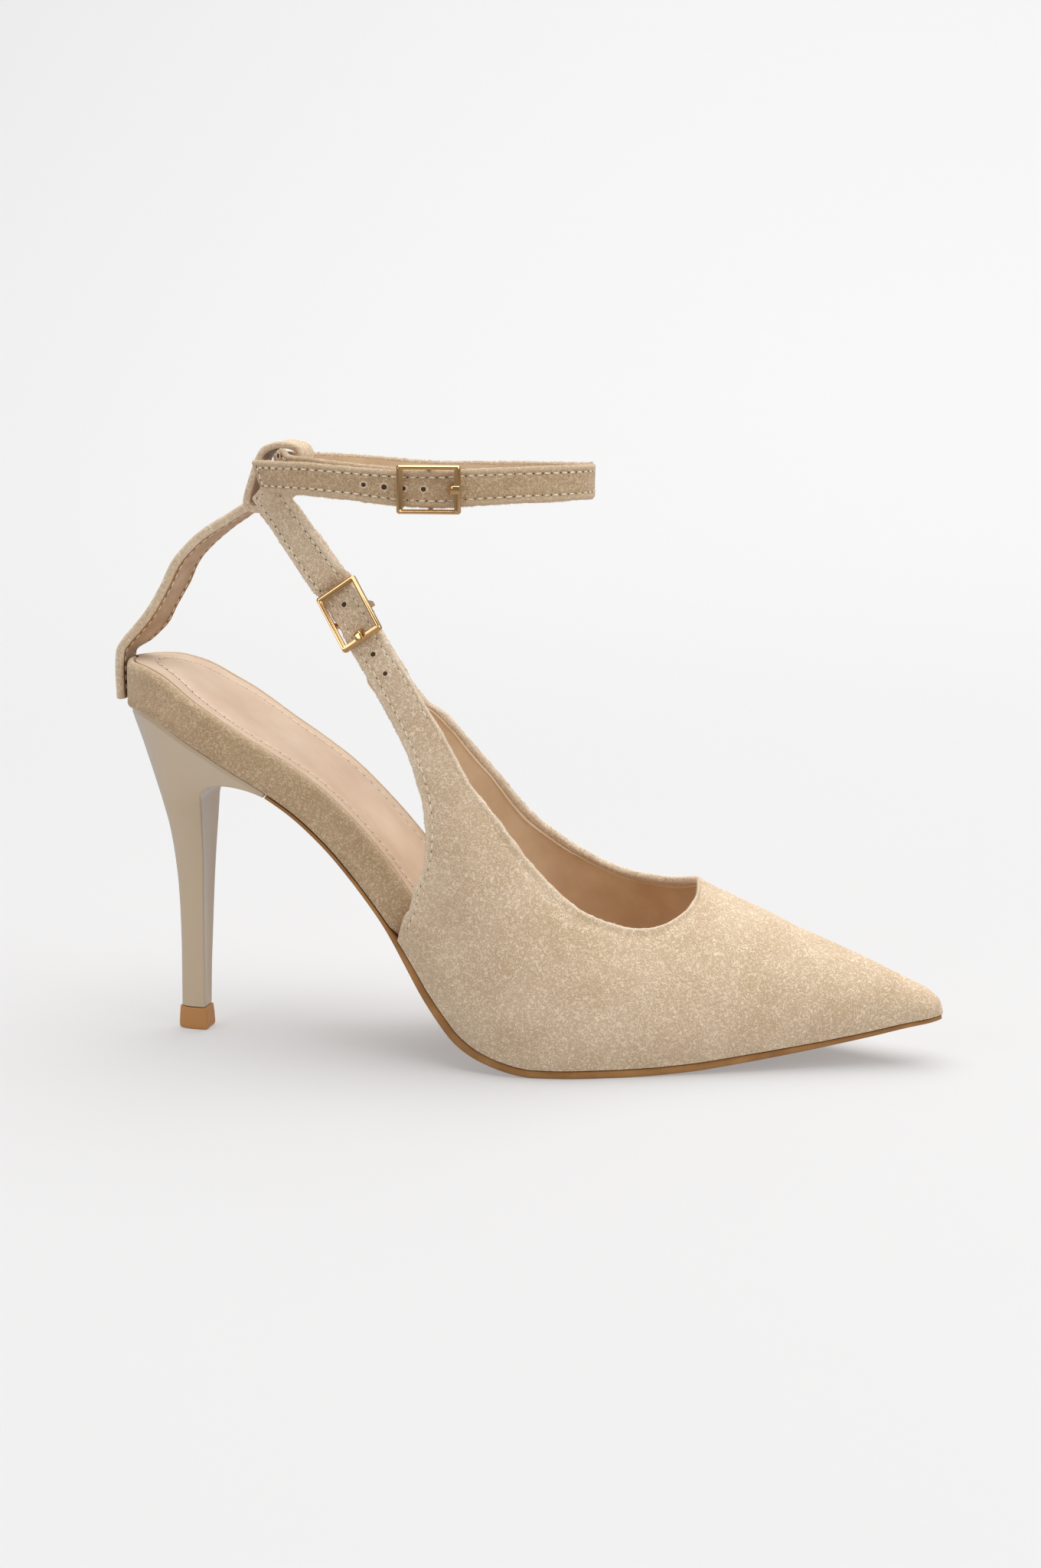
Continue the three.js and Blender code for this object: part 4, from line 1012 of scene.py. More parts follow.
@dataclass(frozen=True)
class StrapRoute:
    """A side strap's way from its root on the wing to the junction behind the ankle."""

    side: Side
    foot: Array
    top: Array
    end: tuple[float, float, float]
    end_face: tuple[float, float, float]
    rows: Table
    full_width: float

    def middle(self, t: Array) -> Array:
        """The middle line at shares of the way."""
        root = (self.foot + self.top) / 2.0
        straight = mixed(root, np.array(self.end), t)
        bow = [self.rows.at("forward", t), int(self.side) * self.rows.at("outward", t), 0.0 * t]
        return straight + np.stack(bow, axis=-1)

    def width(self, t: Array) -> Array:
        """The strap's width at shares of the way."""
        return self.rows.at("width", t) * self.full_width

    def frame(self, t: Array) -> tuple[Array, Array, Array, Array]:
        """The strap's own directions.

        Args:
            t: Shares of the way from the root to the junction.

        Returns:
            The middle, the vector from edge to edge, the direction square to the strap and the normal.
        """
        t = np.asarray(t, dtype=float)
        middle = self.middle(t)
        tangent = unit(self.middle(t + 0.02) - self.middle(t - 0.02))
        face = mixed(np.array([0.1, float(self.side), 0.05]), np.array(self.end_face), t)
        square = unit(np.cross(face, tangent))
        square = square * np.where(square[..., :1] < 0.0, -1.0, 1.0)
        normal = unit(np.cross(square, tangent))
        normal = normal * np.where((normal * face).sum(-1, keepdims=True) < 0.0, -1.0, 1.0)
        turned = smoothstep(t, 0.0, 0.2)[..., None]
        across = (self.top - self.foot) * (1.0 - turned) + square * self.width(t)[..., None] * turned
        return middle, across, square, normal

    def line(self, start: float, stop: float, sink: Callable[[Array], Array] | None = None) -> Line:
        """The strap's line between two shares, sunk into the strap by a depth where asked.

        Args:
            start: The share where it starts.
            stop: The share where it ends.
            sink: Gives the depth at shares.

        Returns:
            The line on the strap's face.
        """
        t = np.linspace(start, stop, 160)
        middle, _, square, normal = self.frame(t)
        if sink is not None:
            middle = middle - normal * sink(t)[:, None]
        return Line(middle, square, normal)


@dataclass
class Upper:
    """The vamp, its two wings and their straps: suede outside, lining within, with a rolled topline."""

    last: Last = Last()
    tip_at: float = 0.475
    far_tip_at: float = 1.0
    strap_ribs: int = 64
    rows_between: int = 6
    toe_ribs: int = 64
    edge_pad: float = 0.5
    roll: float = 0.7
    turned_columns: int = 6
    hole_heights: tuple[float, ...] = (122.8, 110.2, 105.3)
    buckle_at: float = 0.35
    lining_bead: float = 2.9
    lining_groove: float = 2.1
    seam: Seam = Seam()

    lateral = Table(
        "row top_at top_up foot_at foot_up",
        [
            (0, 0.379, 0.405, 0.327, 0.314), (1, 0.404, 0.429, 0.348, 0.309),
            (2, 0.423, 0.449, 0.367, 0.312), (3, 0.441, 0.467, 0.385, 0.311),
            (4, 0.46, 0.486, 0.398, 0.297), (5, 0.478, 0.505, 0.403, 0.268),
            (6, 0.496, 0.516, 0.402, 0.24), (7, 0.514, 0.52, 0.397, 0.21),
            (8, 0.532, 0.521, 0.386, 0.172), (9, 0.55, 0.523, 0.375, 0.11),
            (10, 0.568, 0.525, 0.362, 0), (11, 0.58, 0.525, 0.388, 0), (12, 0.591, 0.526, 0.414, 0),
            (13, 0.602, 0.528, 0.44, 0), (14, 0.612, 0.53, 0.466, 0), (15, 0.623, 0.534, 0.494, 0),
            (16, 0.636, 0.54, 0.535, 0), (17, 0.653, 0.557, 0.58, 0), (18, 0.67, 0.585, 0.622, 0),
            (19, 0.686, 0.634, 0.662, 0), (20, 0.701, 0.721, 0.698, 0), (21, 0.707, 0.84, 0.722, 0),
            (22, 0.703, 1, 0.74, 0),
        ],
    )
    medial = Table(
        "row top_at top_up foot_at foot_up",
        [
            (0, 0.332, 0.285, 0.276, 0.22), (1, 0.351, 0.291, 0.291, 0.219),
            (2, 0.37, 0.312, 0.307, 0.216), (3, 0.388, 0.33, 0.32, 0.208),
            (4, 0.407, 0.349, 0.331, 0.197), (5, 0.425, 0.367, 0.34, 0.183),
            (6, 0.444, 0.389, 0.346, 0.167), (7, 0.463, 0.402, 0.349, 0.138),
            (8, 0.482, 0.414, 0.349, 0.085), (9, 0.51, 0.439, 0.349, 0.041),
            (10, 0.539, 0.468, 0.349, 0), (11, 0.551, 0.484, 0.376, 0), (12, 0.564, 0.502, 0.404, 0),
            (13, 0.577, 0.525, 0.432, 0), (14, 0.59, 0.542, 0.46, 0), (15, 0.604, 0.562, 0.49, 0),
            (16, 0.622, 0.596, 0.53, 0), (17, 0.643, 0.639, 0.575, 0), (18, 0.664, 0.691, 0.618, 0),
            (19, 0.684, 0.768, 0.66, 0), (20, 0.697, 0.855, 0.697, 0), (21, 0.702, 0.925, 0.722, 0),
            (22, 0.703, 1, 0.74, 0),
        ],
    )

    def __post_init__(self) -> None:
        """Lays out the two straps."""
        ends = {}
        for side, table in ((Side.LATERAL, self.lateral), (Side.MEDIAL, self.medial)):
            foot = self.last.point(table.at("foot_at", 0.0), table.at("foot_up", 0.0), side, 0.0)
            top = self.last.point(table.at("top_at", 0.0), table.at("top_up", 0.0), side, 0.0)
            ends[side] = (foot, top)
        self.side_route = StrapRoute(
            Side.LATERAL,
            *ends[Side.LATERAL],
            end=(26.7, -10.9, 149.7),
            end_face=(-0.48, -0.88, 0.0),
            rows=Table(
                "along forward outward width",
                [
                    (0, 0, 0, 0.93), (0.16, 0.7, 1.1, 0.9), (0.35, 2.1, 1.9, 0.93),
                    (0.52, 1.5, 1.9, 0.91), (0.75, 0.7, 1.3, 1), (1, 0, 0, 1),
                ],
            ),
            full_width=10.8,
        )
        self.far_route = StrapRoute(
            Side.MEDIAL,
            *ends[Side.MEDIAL],
            end=(22.1, 9.4, 147.3),
            end_face=(-0.4, 0.92, 0.0),
            rows=Table(
                "along forward outward width",
                [
                    (0, 0, 0, 1), (0.15, 1.8, 0.8, 0.9), (0.3, 1.9, 1.2, 0.9), (0.6, 1.5, 1.4, 1),
                    (1, 0, 0, 1),
                ],
            ),
            full_width=9.4,
        )

    def shares(self, length: Array, foot_pad: Array, top_pad: Array) -> tuple[Array, Array, Array]:
        """The columns of each rib, crowded towards its two edges.

        Args:
            length: Each rib's length.
            foot_pad: How far each rib stops short of its foot, for the rolled edge.
            top_pad: And of its top.

        Returns:
            Shares of the ribs and the distances from the foot's and the top's edge.
        """
        marks = band_marks()[None, :]
        room = length - foot_pad - top_pad
        fit = np.minimum(1.0, 0.42 * room / marks.max())[:, None]
        low = foot_pad[:, None] + marks * fit
        high = (length - top_pad)[:, None] - marks[:, ::-1] * fit
        inner = low[:, -1:] + (high[:, :1] - low[:, -1:]) * np.linspace(0.0, 1.0, 22)[None, 1:-1]
        distance = np.concatenate([low, inner, high], axis=1)
        return distance / length[:, None], distance, length[:, None] - distance

    def wing(self, side: Side) -> dict[str, Array]:
        """The ribs of one wing and its half of the toe.

        Args:
            side: The side of the shoe.

        Returns:
            The outside and inside places and the distances from the rib's two edges.
        """
        table = self.lateral if side is Side.LATERAL else self.medial
        row = np.linspace(0.0, 22.0, 22 * self.rows_between + 1)
        p = np.linspace(0.0, 1.0, self.toe_ribs + 1)[1:]
        along = 1.0 - (1.0 - p) ** 1.7
        throat_at = table.at("top_at", 22.0) + 0.0026
        top_at = table.at("top_at", row) + 0.0026 * smoothstep(row, 19.0, 22.0)
        top_at = np.concatenate([top_at, throat_at + (1.0 - throat_at) * along])
        foot_at = np.concatenate([table.at("foot_at", row), 0.74 + 0.26 * along])
        top_up = np.concatenate([table.at("top_up", row), np.ones_like(p)])
        foot_up = np.concatenate([table.at("foot_up", row), np.zeros_like(p)])
        foot = self.last.point(foot_at, foot_up, side, 0.0)
        top = self.last.point(top_at, top_up, side, 0.0)
        length = np.maximum(np.linalg.norm(top - foot, axis=1), 0.05)
        number = np.concatenate([row, np.full_like(p, 23.0)])
        top_pad = np.minimum(self.edge_pad * (1.0 - smoothstep(number, 19.0, 21.5)), 0.1 * length)
        foot_pad = np.minimum(self.edge_pad * (1.0 - smoothstep(number, 9.2, 10.0)), 0.1 * length)
        share, from_foot, from_top = self.shares(length, foot_pad, top_pad)
        at = foot_at[:, None] + (top_at - foot_at)[:, None] * share
        up = foot_up[:, None] + (top_up - foot_up)[:, None] * share
        outside = self.last.point(at, up, side, 0.0)
        inside = self.last.point(at, up, side, self.last.wall)
        free_foot = (1.0 - smoothstep(number, 9.2, 10.0))[:, None]
        free_top = (1.0 - smoothstep(number, 22.2, 22.8))[:, None]
        return {
            "outside": outside,
            "inside": inside,
            "from_foot": from_foot + 60.0 * (1.0 - free_foot),
            "from_top": from_top + 60.0 * (1.0 - free_top),
            "free_foot": free_foot[:, 0],
            "row": number,
            "share": share,
        }

    def strap(self, side: Side, first: dict[str, Array]) -> dict[str, Array]:
        """The ribs of one strap, from its free end to the wing's first rib."""
        route = self.side_route if side is Side.LATERAL else self.far_route
        tip = self.tip_at if side is Side.LATERAL else self.far_tip_at
        t = np.linspace(tip, 0.0, self.strap_ribs + 1)[:-1]
        middle, across, _, normal = route.frame(t)
        length = np.linalg.norm(across, axis=1)
        pad = np.full_like(length, self.edge_pad)
        share, from_foot, from_top = self.shares(length, pad, pad)
        outside = middle[:, None] + across[:, None] * (share[..., None] - 0.5)
        root = first["outside"][0]
        chord = mixed(route.foot, route.top, first["share"][0])
        outside = outside + (root - chord)[None] * (1.0 - smoothstep(t, 0.0, 0.15))[:, None, None]
        lean = (first["inside"][0] - root)[None]
        settled = smoothstep(t, 0.0, 0.12)[:, None, None]
        inside = outside + lean * (1.0 - settled) - normal[:, None] * self.last.wall * settled
        return {
            "outside": outside,
            "inside": inside,
            "from_foot": from_foot,
            "from_top": from_top,
            "free_foot": np.ones_like(t),
            "row": -t,
            "share": share,
        }

    def half(self, side: Side) -> dict[str, Array]:
        """Strap, wing and toe of one side, as one sheet."""
        wing = self.wing(side)
        strap = self.strap(side, wing)
        return {key: np.concatenate([strap[key], wing[key]]) for key in wing}

    def crease(self, half: dict[str, Array]) -> Array:
        """The folds that the lining makes on the inner wing, as depths below its face."""
        at = self.last.share(half["inside"][..., 0])
        up = half["inside"][..., 2]
        depth = np.zeros_like(at)
        for centre_at, centre_up, lean, reach, deep in (
            (0.372, 100.0, 0.9, 7.0, 0.8), (0.415, 86.0, 0.35, 8.0, 0.7), (0.436, 79.0, 1.4, 6.0, 0.4),
        ):
            dx = (at - centre_at) * self.last.length
            dz = up - centre_up
            along = dx * math.cos(lean) + dz * math.sin(lean)
            off = dz * math.cos(lean) - dx * math.sin(lean)
            depth += deep * np.exp(-((off / 0.55) ** 2) - (along / reach) ** 2)
            depth -= 0.6 * deep * np.exp(-(((off - 1.4) / 1.0) ** 2) - (along / reach) ** 2)
        return depth

    def build(self, finishes: Finishes, stitching: Stitching) -> None:
        """Makes the upper and gives its stitch rows to the stitching."""
        skin = Skin()
        halves = {side: self.half(side) for side in Side}
        for side, half in halves.items():
            out = unit(half["outside"] - half["inside"])
            gap = np.minimum(half["from_foot"], half["from_top"])
            on_strap = 1.0 - smoothstep(half["row"], 3.0, 6.0)[:, None]
            top = half["from_top"]
            bead = 0.32 * hump(top, 0.7, 1.0) - 0.2 * hump(top, 3.0, 1.1)
            relief = self.seam.relief(half["from_foot"]) + self.seam.relief(top) * on_strap
            relief = relief + bead * (1.0 - on_strap)
            wave = 0.16 * ripple(half["outside"], 17.0, 3) + 0.08 * ripple(half["outside"], 6.0, 4)
            fade = smoothstep(gap, 0.0, 2.0)
            half["outside"] = half["outside"] + out * (relief + wave * fade)[..., None]
            within = 0.12 * ripple(half["inside"], 12.0, 9) * fade
            within = within + 0.3 * hump(top, self.lining_bead, 0.35)
            within = within - 0.3 * hump(top, self.lining_groove, 0.3)
            if side is Side.MEDIAL:
                within = within - self.crease(half) * fade
            half["inside"] = half["inside"] - out * within[..., None]
            # Paler along the free edges and the turned-over topline: a painted highlight.
            pale = 0.5 * hump(gap, 0.0, 0.9)
            skin.grid(half["outside"], Face.OUTER, pale)
            turned = half["inside"].shape[1] - self.turned_columns
            skin.grid(half["inside"][:, :turned], Face.LINING)
            skin.grid(half["inside"][:, turned - 1 :], Face.OUTER, 0.2)
            self.stitch(half, stitching)
        self.rim(skin, halves, stitching)
        self.holes(stitching)
        made = skin.piece("upper_suede", [finishes.suede, finishes.lining])
        settle(made, "suede", "upper")

    def holes(self, stitching: Stitching) -> None:
        """The side strap's punched holes, along its middle."""
        t = np.linspace(-0.05, self.tip_at, 200)
        heights = self.side_route.middle(t)[:, 2]
        middle, _, square, normal = self.side_route.frame(np.interp(self.hole_heights, heights, t))
        stitching.punch(middle + 0.12 * normal, square, normal)

    def rim(self, skin: Skin, halves: dict[Side, dict[str, Array]], stitching: Stitching) -> None:
        """Closes the sheet all round: rolled along the free edges, flat where the sole meets it.

        Args:
            skin: Takes the faces.
            halves: The two sheets.
            stitching: Takes the edge's fibres.
        """
        near, far = halves[Side.LATERAL], halves[Side.MEDIAL]
        throat = int(np.argmin(np.abs(near["row"] - 22.0)))
        throat_far = int(np.argmin(np.abs(far["row"] - 22.0)))

        def run(half: dict[str, Array], rows: slice, column: int) -> list[Array]:
            """Outside, inside, inward neighbour and freedom along one edge."""
            inner = column + 1 if column == 0 else column - 1
            free = half["free_foot"][rows] if column == 0 else np.ones(len(half["row"][rows]))
            outer = half["outside"]
            return [outer[rows, column], half["inside"][rows, column], outer[rows, inner], free]

        def end(half: dict[str, Array], flip: bool) -> list[Array]:
            """The same along a strap's free end, without its corners."""
            step = slice(-2, 0, -1) if flip else slice(1, -1)
            spots = [half["outside"][0, step], half["inside"][0, step], half["outside"][1, step]]
            return [*spots, np.ones(len(spots[0]))]

        turned_top = run(far, slice(None, throat_far), -1)
        legs = [
            end(near, False),
            run(near, slice(None, throat + 1), -1),
            [leg[::-1] for leg in turned_top],
            end(far, True),
            run(far, slice(None, None), 0),
            [leg[::-1] for leg in run(near, slice(None, -1), 0)],
        ]
        outside, inside, inner, free = (np.concatenate([leg[k] for leg in legs]) for k in range(4))
        half_wall = (outside - inside) / 2.0
        tangent = unit(np.roll(outside, -1, axis=0) - np.roll(outside, 1, axis=0))
        away = unit(np.cross(tangent, unit(half_wall)))
        away = away * np.sign(((outside - inner) * away).sum(-1, keepdims=True) + 1e-9)
        depth = np.linalg.norm(half_wall, axis=1) * self.roll * free
        depth = depth * (1.0 + 0.22 * ripple(outside, 1.6, 12) + 0.15 * ripple(outside, 5.0, 13))
        turn = np.linspace(0.0, math.pi, 8)[None, :, None]
        centre = ((outside + inside) / 2.0)[:, None]
        ring = centre + half_wall[:, None] * np.cos(turn) + (away * depth[:, None])[:, None] * np.sin(turn)
        ring = np.concatenate([ring, ring[:1]], axis=0)
        # The free, rolled rim is drawn paler: a painted highlight.
        pale = np.broadcast_to(0.5 * np.concatenate([free, free[:1]])[:, None], ring.shape[:2])
        skin.grid(ring, Face.OUTER, pale)
        bare = free > 0.9
        stitching.fuzz((centre[:, 0] + away * depth[:, None])[bare], away[bare], 0.8)

    def stitch(self, half: dict[str, Array], stitching: Stitching) -> None:
        """Rows along the wing's rear edge and both edges of the strap."""
        out = unit(half["outside"] - half["inside"])
        column = int(np.argmin(np.abs(band_marks() + self.edge_pad - self.seam.inset)))
        foot_rows = half["free_foot"] > 0.9
        stitching.row(half["outside"][foot_rows, column], out[foot_rows, column], 0.07)
        top_rows = half["row"] < 1.5
        last_column = half["outside"].shape[1] - 1 - column
        stitching.row(half["outside"][top_rows, last_column], out[top_rows, last_column], 0.07)


# Footbed, sock and outsole


@dataclass
class Footbed:
    """The wrapped board that carries the foot, and the padded sock on it."""

    last: Last = Last()
    thickness: float = 10.4
    # How far into the rounded lip the painted highlight grows to full strength.
    highlight_reach: float = 3.2
    lip: float = 2.4
    short: float = 17.0
    sock_thickness: float = 1.2
    sock_inset: float = 2.2
    clearance: float = 0.3
    depth = Table(
        "at share",
        [(0, 1.25), (0.03, 1.18), (0.09, 1), (0.3, 1), (0.36, 0.93), (0.42, 0.72), (0.5, 0.46), (1, 0.42)],
    )

    def inset(self, x: Array, side: Side) -> Array:
        """How far the board lies inside the sole's outline: only within the upper."""
        start = 0.349 if side is Side.LATERAL else 0.334
        return smoothstep(self.last.share(x), start, start + 0.012) * (self.last.wall + 3.0 * self.clearance)

    def stations(self, start: float, stop: float) -> Array:
        """Places along the board, close together at its back."""
        back = start + (1.0 - np.cos(np.linspace(0.0, math.pi / 2.0, 26))) * 24.0
        return np.concatenate([back[:-1], np.linspace(back[-1], stop, 118)])

    def spread(self, x: Array, start: float, stop: float, inset: float) -> Array:
        """The stations moved inwards, so that nested outlines stay level with each other."""
        return x + inset * (1.0 - (x - start) / (stop - start)) - 0.5 * inset * (x - start) / (stop - start)

    def plate(
        self,
        skin: Skin,
        span: tuple[float, float],
        edge: Sequence[tuple[float, Callable[[Array], Array]]],
        extra: float,
        inked: int = 0,
    ) -> None:
        """Adds a board with a worked edge, closed above and below.

        Args:
            skin: Takes the faces.
            span: X of the back end and of the front end, deep in the toe.
            edge: Rows from the underside to the top face, each an inset and a height.
            extra: The inset of the whole outline.
            inked: How many of the lowest rows are a cut and inked edge.
        """
        start, stop = span
        x = self.stations(start, stop)
        rows = {side: [] for side in Side}
        for inset, height in edge:
            moved = self.spread(x, start, stop, inset)
            for side in Side:
                border = self.inset(moved, side) + extra
                narrow = np.minimum(inset, 0.6 * self.last.outline(moved, side, border))
                half = self.last.outline(moved, side, border + narrow)
                rows[side].append(self.last.over_edge(moved, int(side) * half, height(moved)))
        near, far = np.array(rows[Side.LATERAL]), np.array(rows[Side.MEDIAL])
        # Paler the deeper into the rounded lip: a painted highlight along the wrap's rounding.
        edge_highlight = np.array([min(0.8, inset / self.highlight_reach) for inset, _ in edge])[:, None] * np.ones(len(x))
        for sheet in (near, far):
            skin.grid(sheet[: inked + 1], Face.EDGE)
            skin.grid(sheet[inked:], Face.OUTER, edge_highlight[inked:])
        columns = np.linspace(0.0, 1.0, 19)[None, :, None]
        top = near[-1][:, None] * (1.0 - columns) + far[-1][:, None] * columns
        base = near[0][:, None] * (1.0 - columns) + far[0][:, None] * columns
        skin.grid(top)
        skin.grid(base)
        skin.cap(np.concatenate([near[:, -1], top[-1, 1:-1], far[::-1, -1], base[-1, 1:-1][::-1]]))
        skin.cap(np.concatenate([near[:, 0], top[0, 1:-1], far[::-1, 0], base[0, 1:-1][::-1]]))

    def build(self, finishes: Finishes, stitching: Stitching) -> None:
        """Makes the wrapped board and the sock, and stitches the sock."""
        self.wrap(finishes)
        self.sock(finishes, stitching)

    def wrap(self, finishes: Finishes) -> None:
        """The suede-covered board: a full, rounded lip that stands up to the sock and sinks beside it."""
        skin = Skin()
        edge: list[tuple[float, Callable[[Array], Array]]] = [
            (0.7, lambda x: 0.0 * x), (0.2, lambda x: 0.0 * x + 0.15), (0.0, lambda x: 0.0 * x + 0.6),
        ]
        for share in (0.35, 0.7, 1.0):
            edge.append((0.0, lambda x, share=share: 0.6 + (self.top(x) - self.lip - 0.6) * share))
        for turn in np.linspace(0.0, 0.6 * math.pi, 11)[1:]:
            inset, rise = 0.58 * self.sock_inset * (1.0 - math.cos(turn)), self.lip * math.sin(turn)
            edge.append((inset, lambda x, rise=rise: self.top(x) - self.lip + rise))
        floor = self.sock_thickness + self.clearance
        for beyond, sunk in ((0.0, 0.8), (0.1, floor), (2.0, floor)):
            edge.append((self.sock_inset + beyond, lambda x, sunk=sunk: self.top(x) - sunk))
        self.plate(skin, (self.last.seat_back + 0.02, self.last.toe - self.short), edge, 0.0)
        # The wrap is drawn in the darker suede: painted shade.
        made = skin.piece("footbed_wrap", [finishes.suede_in_shade])
        settle(made, "suede", "footbed")

    def top(self, x: Array) -> Array:
        """The sock's face over the edge line."""
        return self.depth.at("share", self.last.share(x)) * self.thickness

    def sock(self, finishes: Finishes, stitching: Stitching) -> None:
        """The leather sock: a cut edge, a stitched border and a soft pad within it."""
        skin = Skin()
        start = self.last.seat_back + self.sock_inset
        stop = self.last.toe - self.short - self.sock_inset
        seam = 4.6

        def face(inset: float) -> float:
            """The face's height over its own level at an inset."""
            dip = 0.32 * math.exp(-(((inset - seam) / 0.55) ** 2))
            pad = 0.45 * float(smoothstep(inset, seam, seam + 4.0))
            return pad - dip - 0.22 * max(0.0, 1.0 - inset / 0.35) ** 2

        edge: list[tuple[float, Callable[[Array], Array]]] = [
            (0.35, lambda x: self.top(x) - self.sock_thickness),
            (0.15, lambda x: self.top(x) - 0.5 * self.sock_thickness),
        ]
        for inset in (0.1, 0.2, 0.35, 1.2, 2.4, 3.3, 3.8, 4.1, 4.35, 4.6, 4.85, 5.1, 5.4, 6.0, 6.8, 7.8):
            edge.append((inset, lambda x, rise=face(inset): self.top(x) + rise - 0.05))
        self.plate(skin, (start, stop), edge, self.sock_inset, 1)
        made = skin.piece("sock_leather", [finishes.sock, finishes.sock, finishes.cut_edge], sharp=60.0)
        settle(made, "sock_leather", "sock")
        x = self.stations(start, stop)[:98]
        moved = self.spread(x, start, stop, seam)
        halves = []
        for side in Side:
            half = self.last.outline(moved, side, self.inset(moved, side) + self.sock_inset + seam)
            halves.append(self.last.over_edge(moved, int(side) * half, self.top(moved) - 0.2))
        line = np.concatenate([halves[0][::-1], halves[1][1:]])
        facing = np.tile(np.array([[0.0, 0.0, 1.0]]), (len(line), 1))
        stitching.row(line, facing, 0.16, 3.0)


@dataclass
class Outsole:
    """The thin resin sole, with a burnished edge."""

    last: Last = Last()
    start: float = 28.5
    thickness: float = 2.1
    inset: float = 0.4
    clearance: float = 0.3
    thicken = Table(
        "at share",
        [(0.2, 0.42), (0.34, 0.5), (0.39, 0.95), (0.45, 1.15), (0.53, 1), (0.72, 1), (0.86, 0.75), (1, 0.5)],
    )

    def build(self, finishes: Finishes) -> None:
        """Makes the sole from sections along the shoe."""
        stop = self.last.toe - self.inset - 0.05
        near_toe = stop - (1.0 - np.cos(np.linspace(math.pi / 2.0, 0.0, 20))) * 8.0
        x = np.concatenate([np.linspace(self.start, near_toe[0], 120)[:-1], near_toe])
        depth = self.thickness * self.thicken.at("share", self.last.share(x))
        left = self.last.outline(x, Side.MEDIAL, self.inset)
        right = self.last.outline(x, Side.LATERAL, self.inset)
        bevel = np.minimum.reduce([np.full_like(x, 0.6), left / 3.0, right / 3.0, depth / 2.5])
        small = 0.35 * bevel
        turn = np.linspace(0.0, math.pi / 2.0, 5)
        ring = []
        for y, sign in ((left, 1.0), (right, -1.0)):
            corner = [(sign * (y - small), 0.0 * x), (sign * y, -small)]
            corner += [
                (sign * (y - bevel * (1.0 - math.cos(a))), -depth + bevel * (1.0 - math.sin(a))) for a in turn
            ]
            ring += corner if sign > 0 else corner[::-1]
        spots = [self.last.over_edge(x, y, up - self.clearance) for y, up in [*ring, ring[0]]]
        skin = Skin()
        skin.grid(np.stack(spots, axis=1))
        skin.cap(np.array([spot[0] for spot in spots[:-1]]))
        skin.cap(np.array([spot[-1] for spot in spots[:-1]])[::-1])
        made = skin.piece("outsole_resin", [finishes.resin])
        settle(made, "sole_resin", "outsole")


# The heel


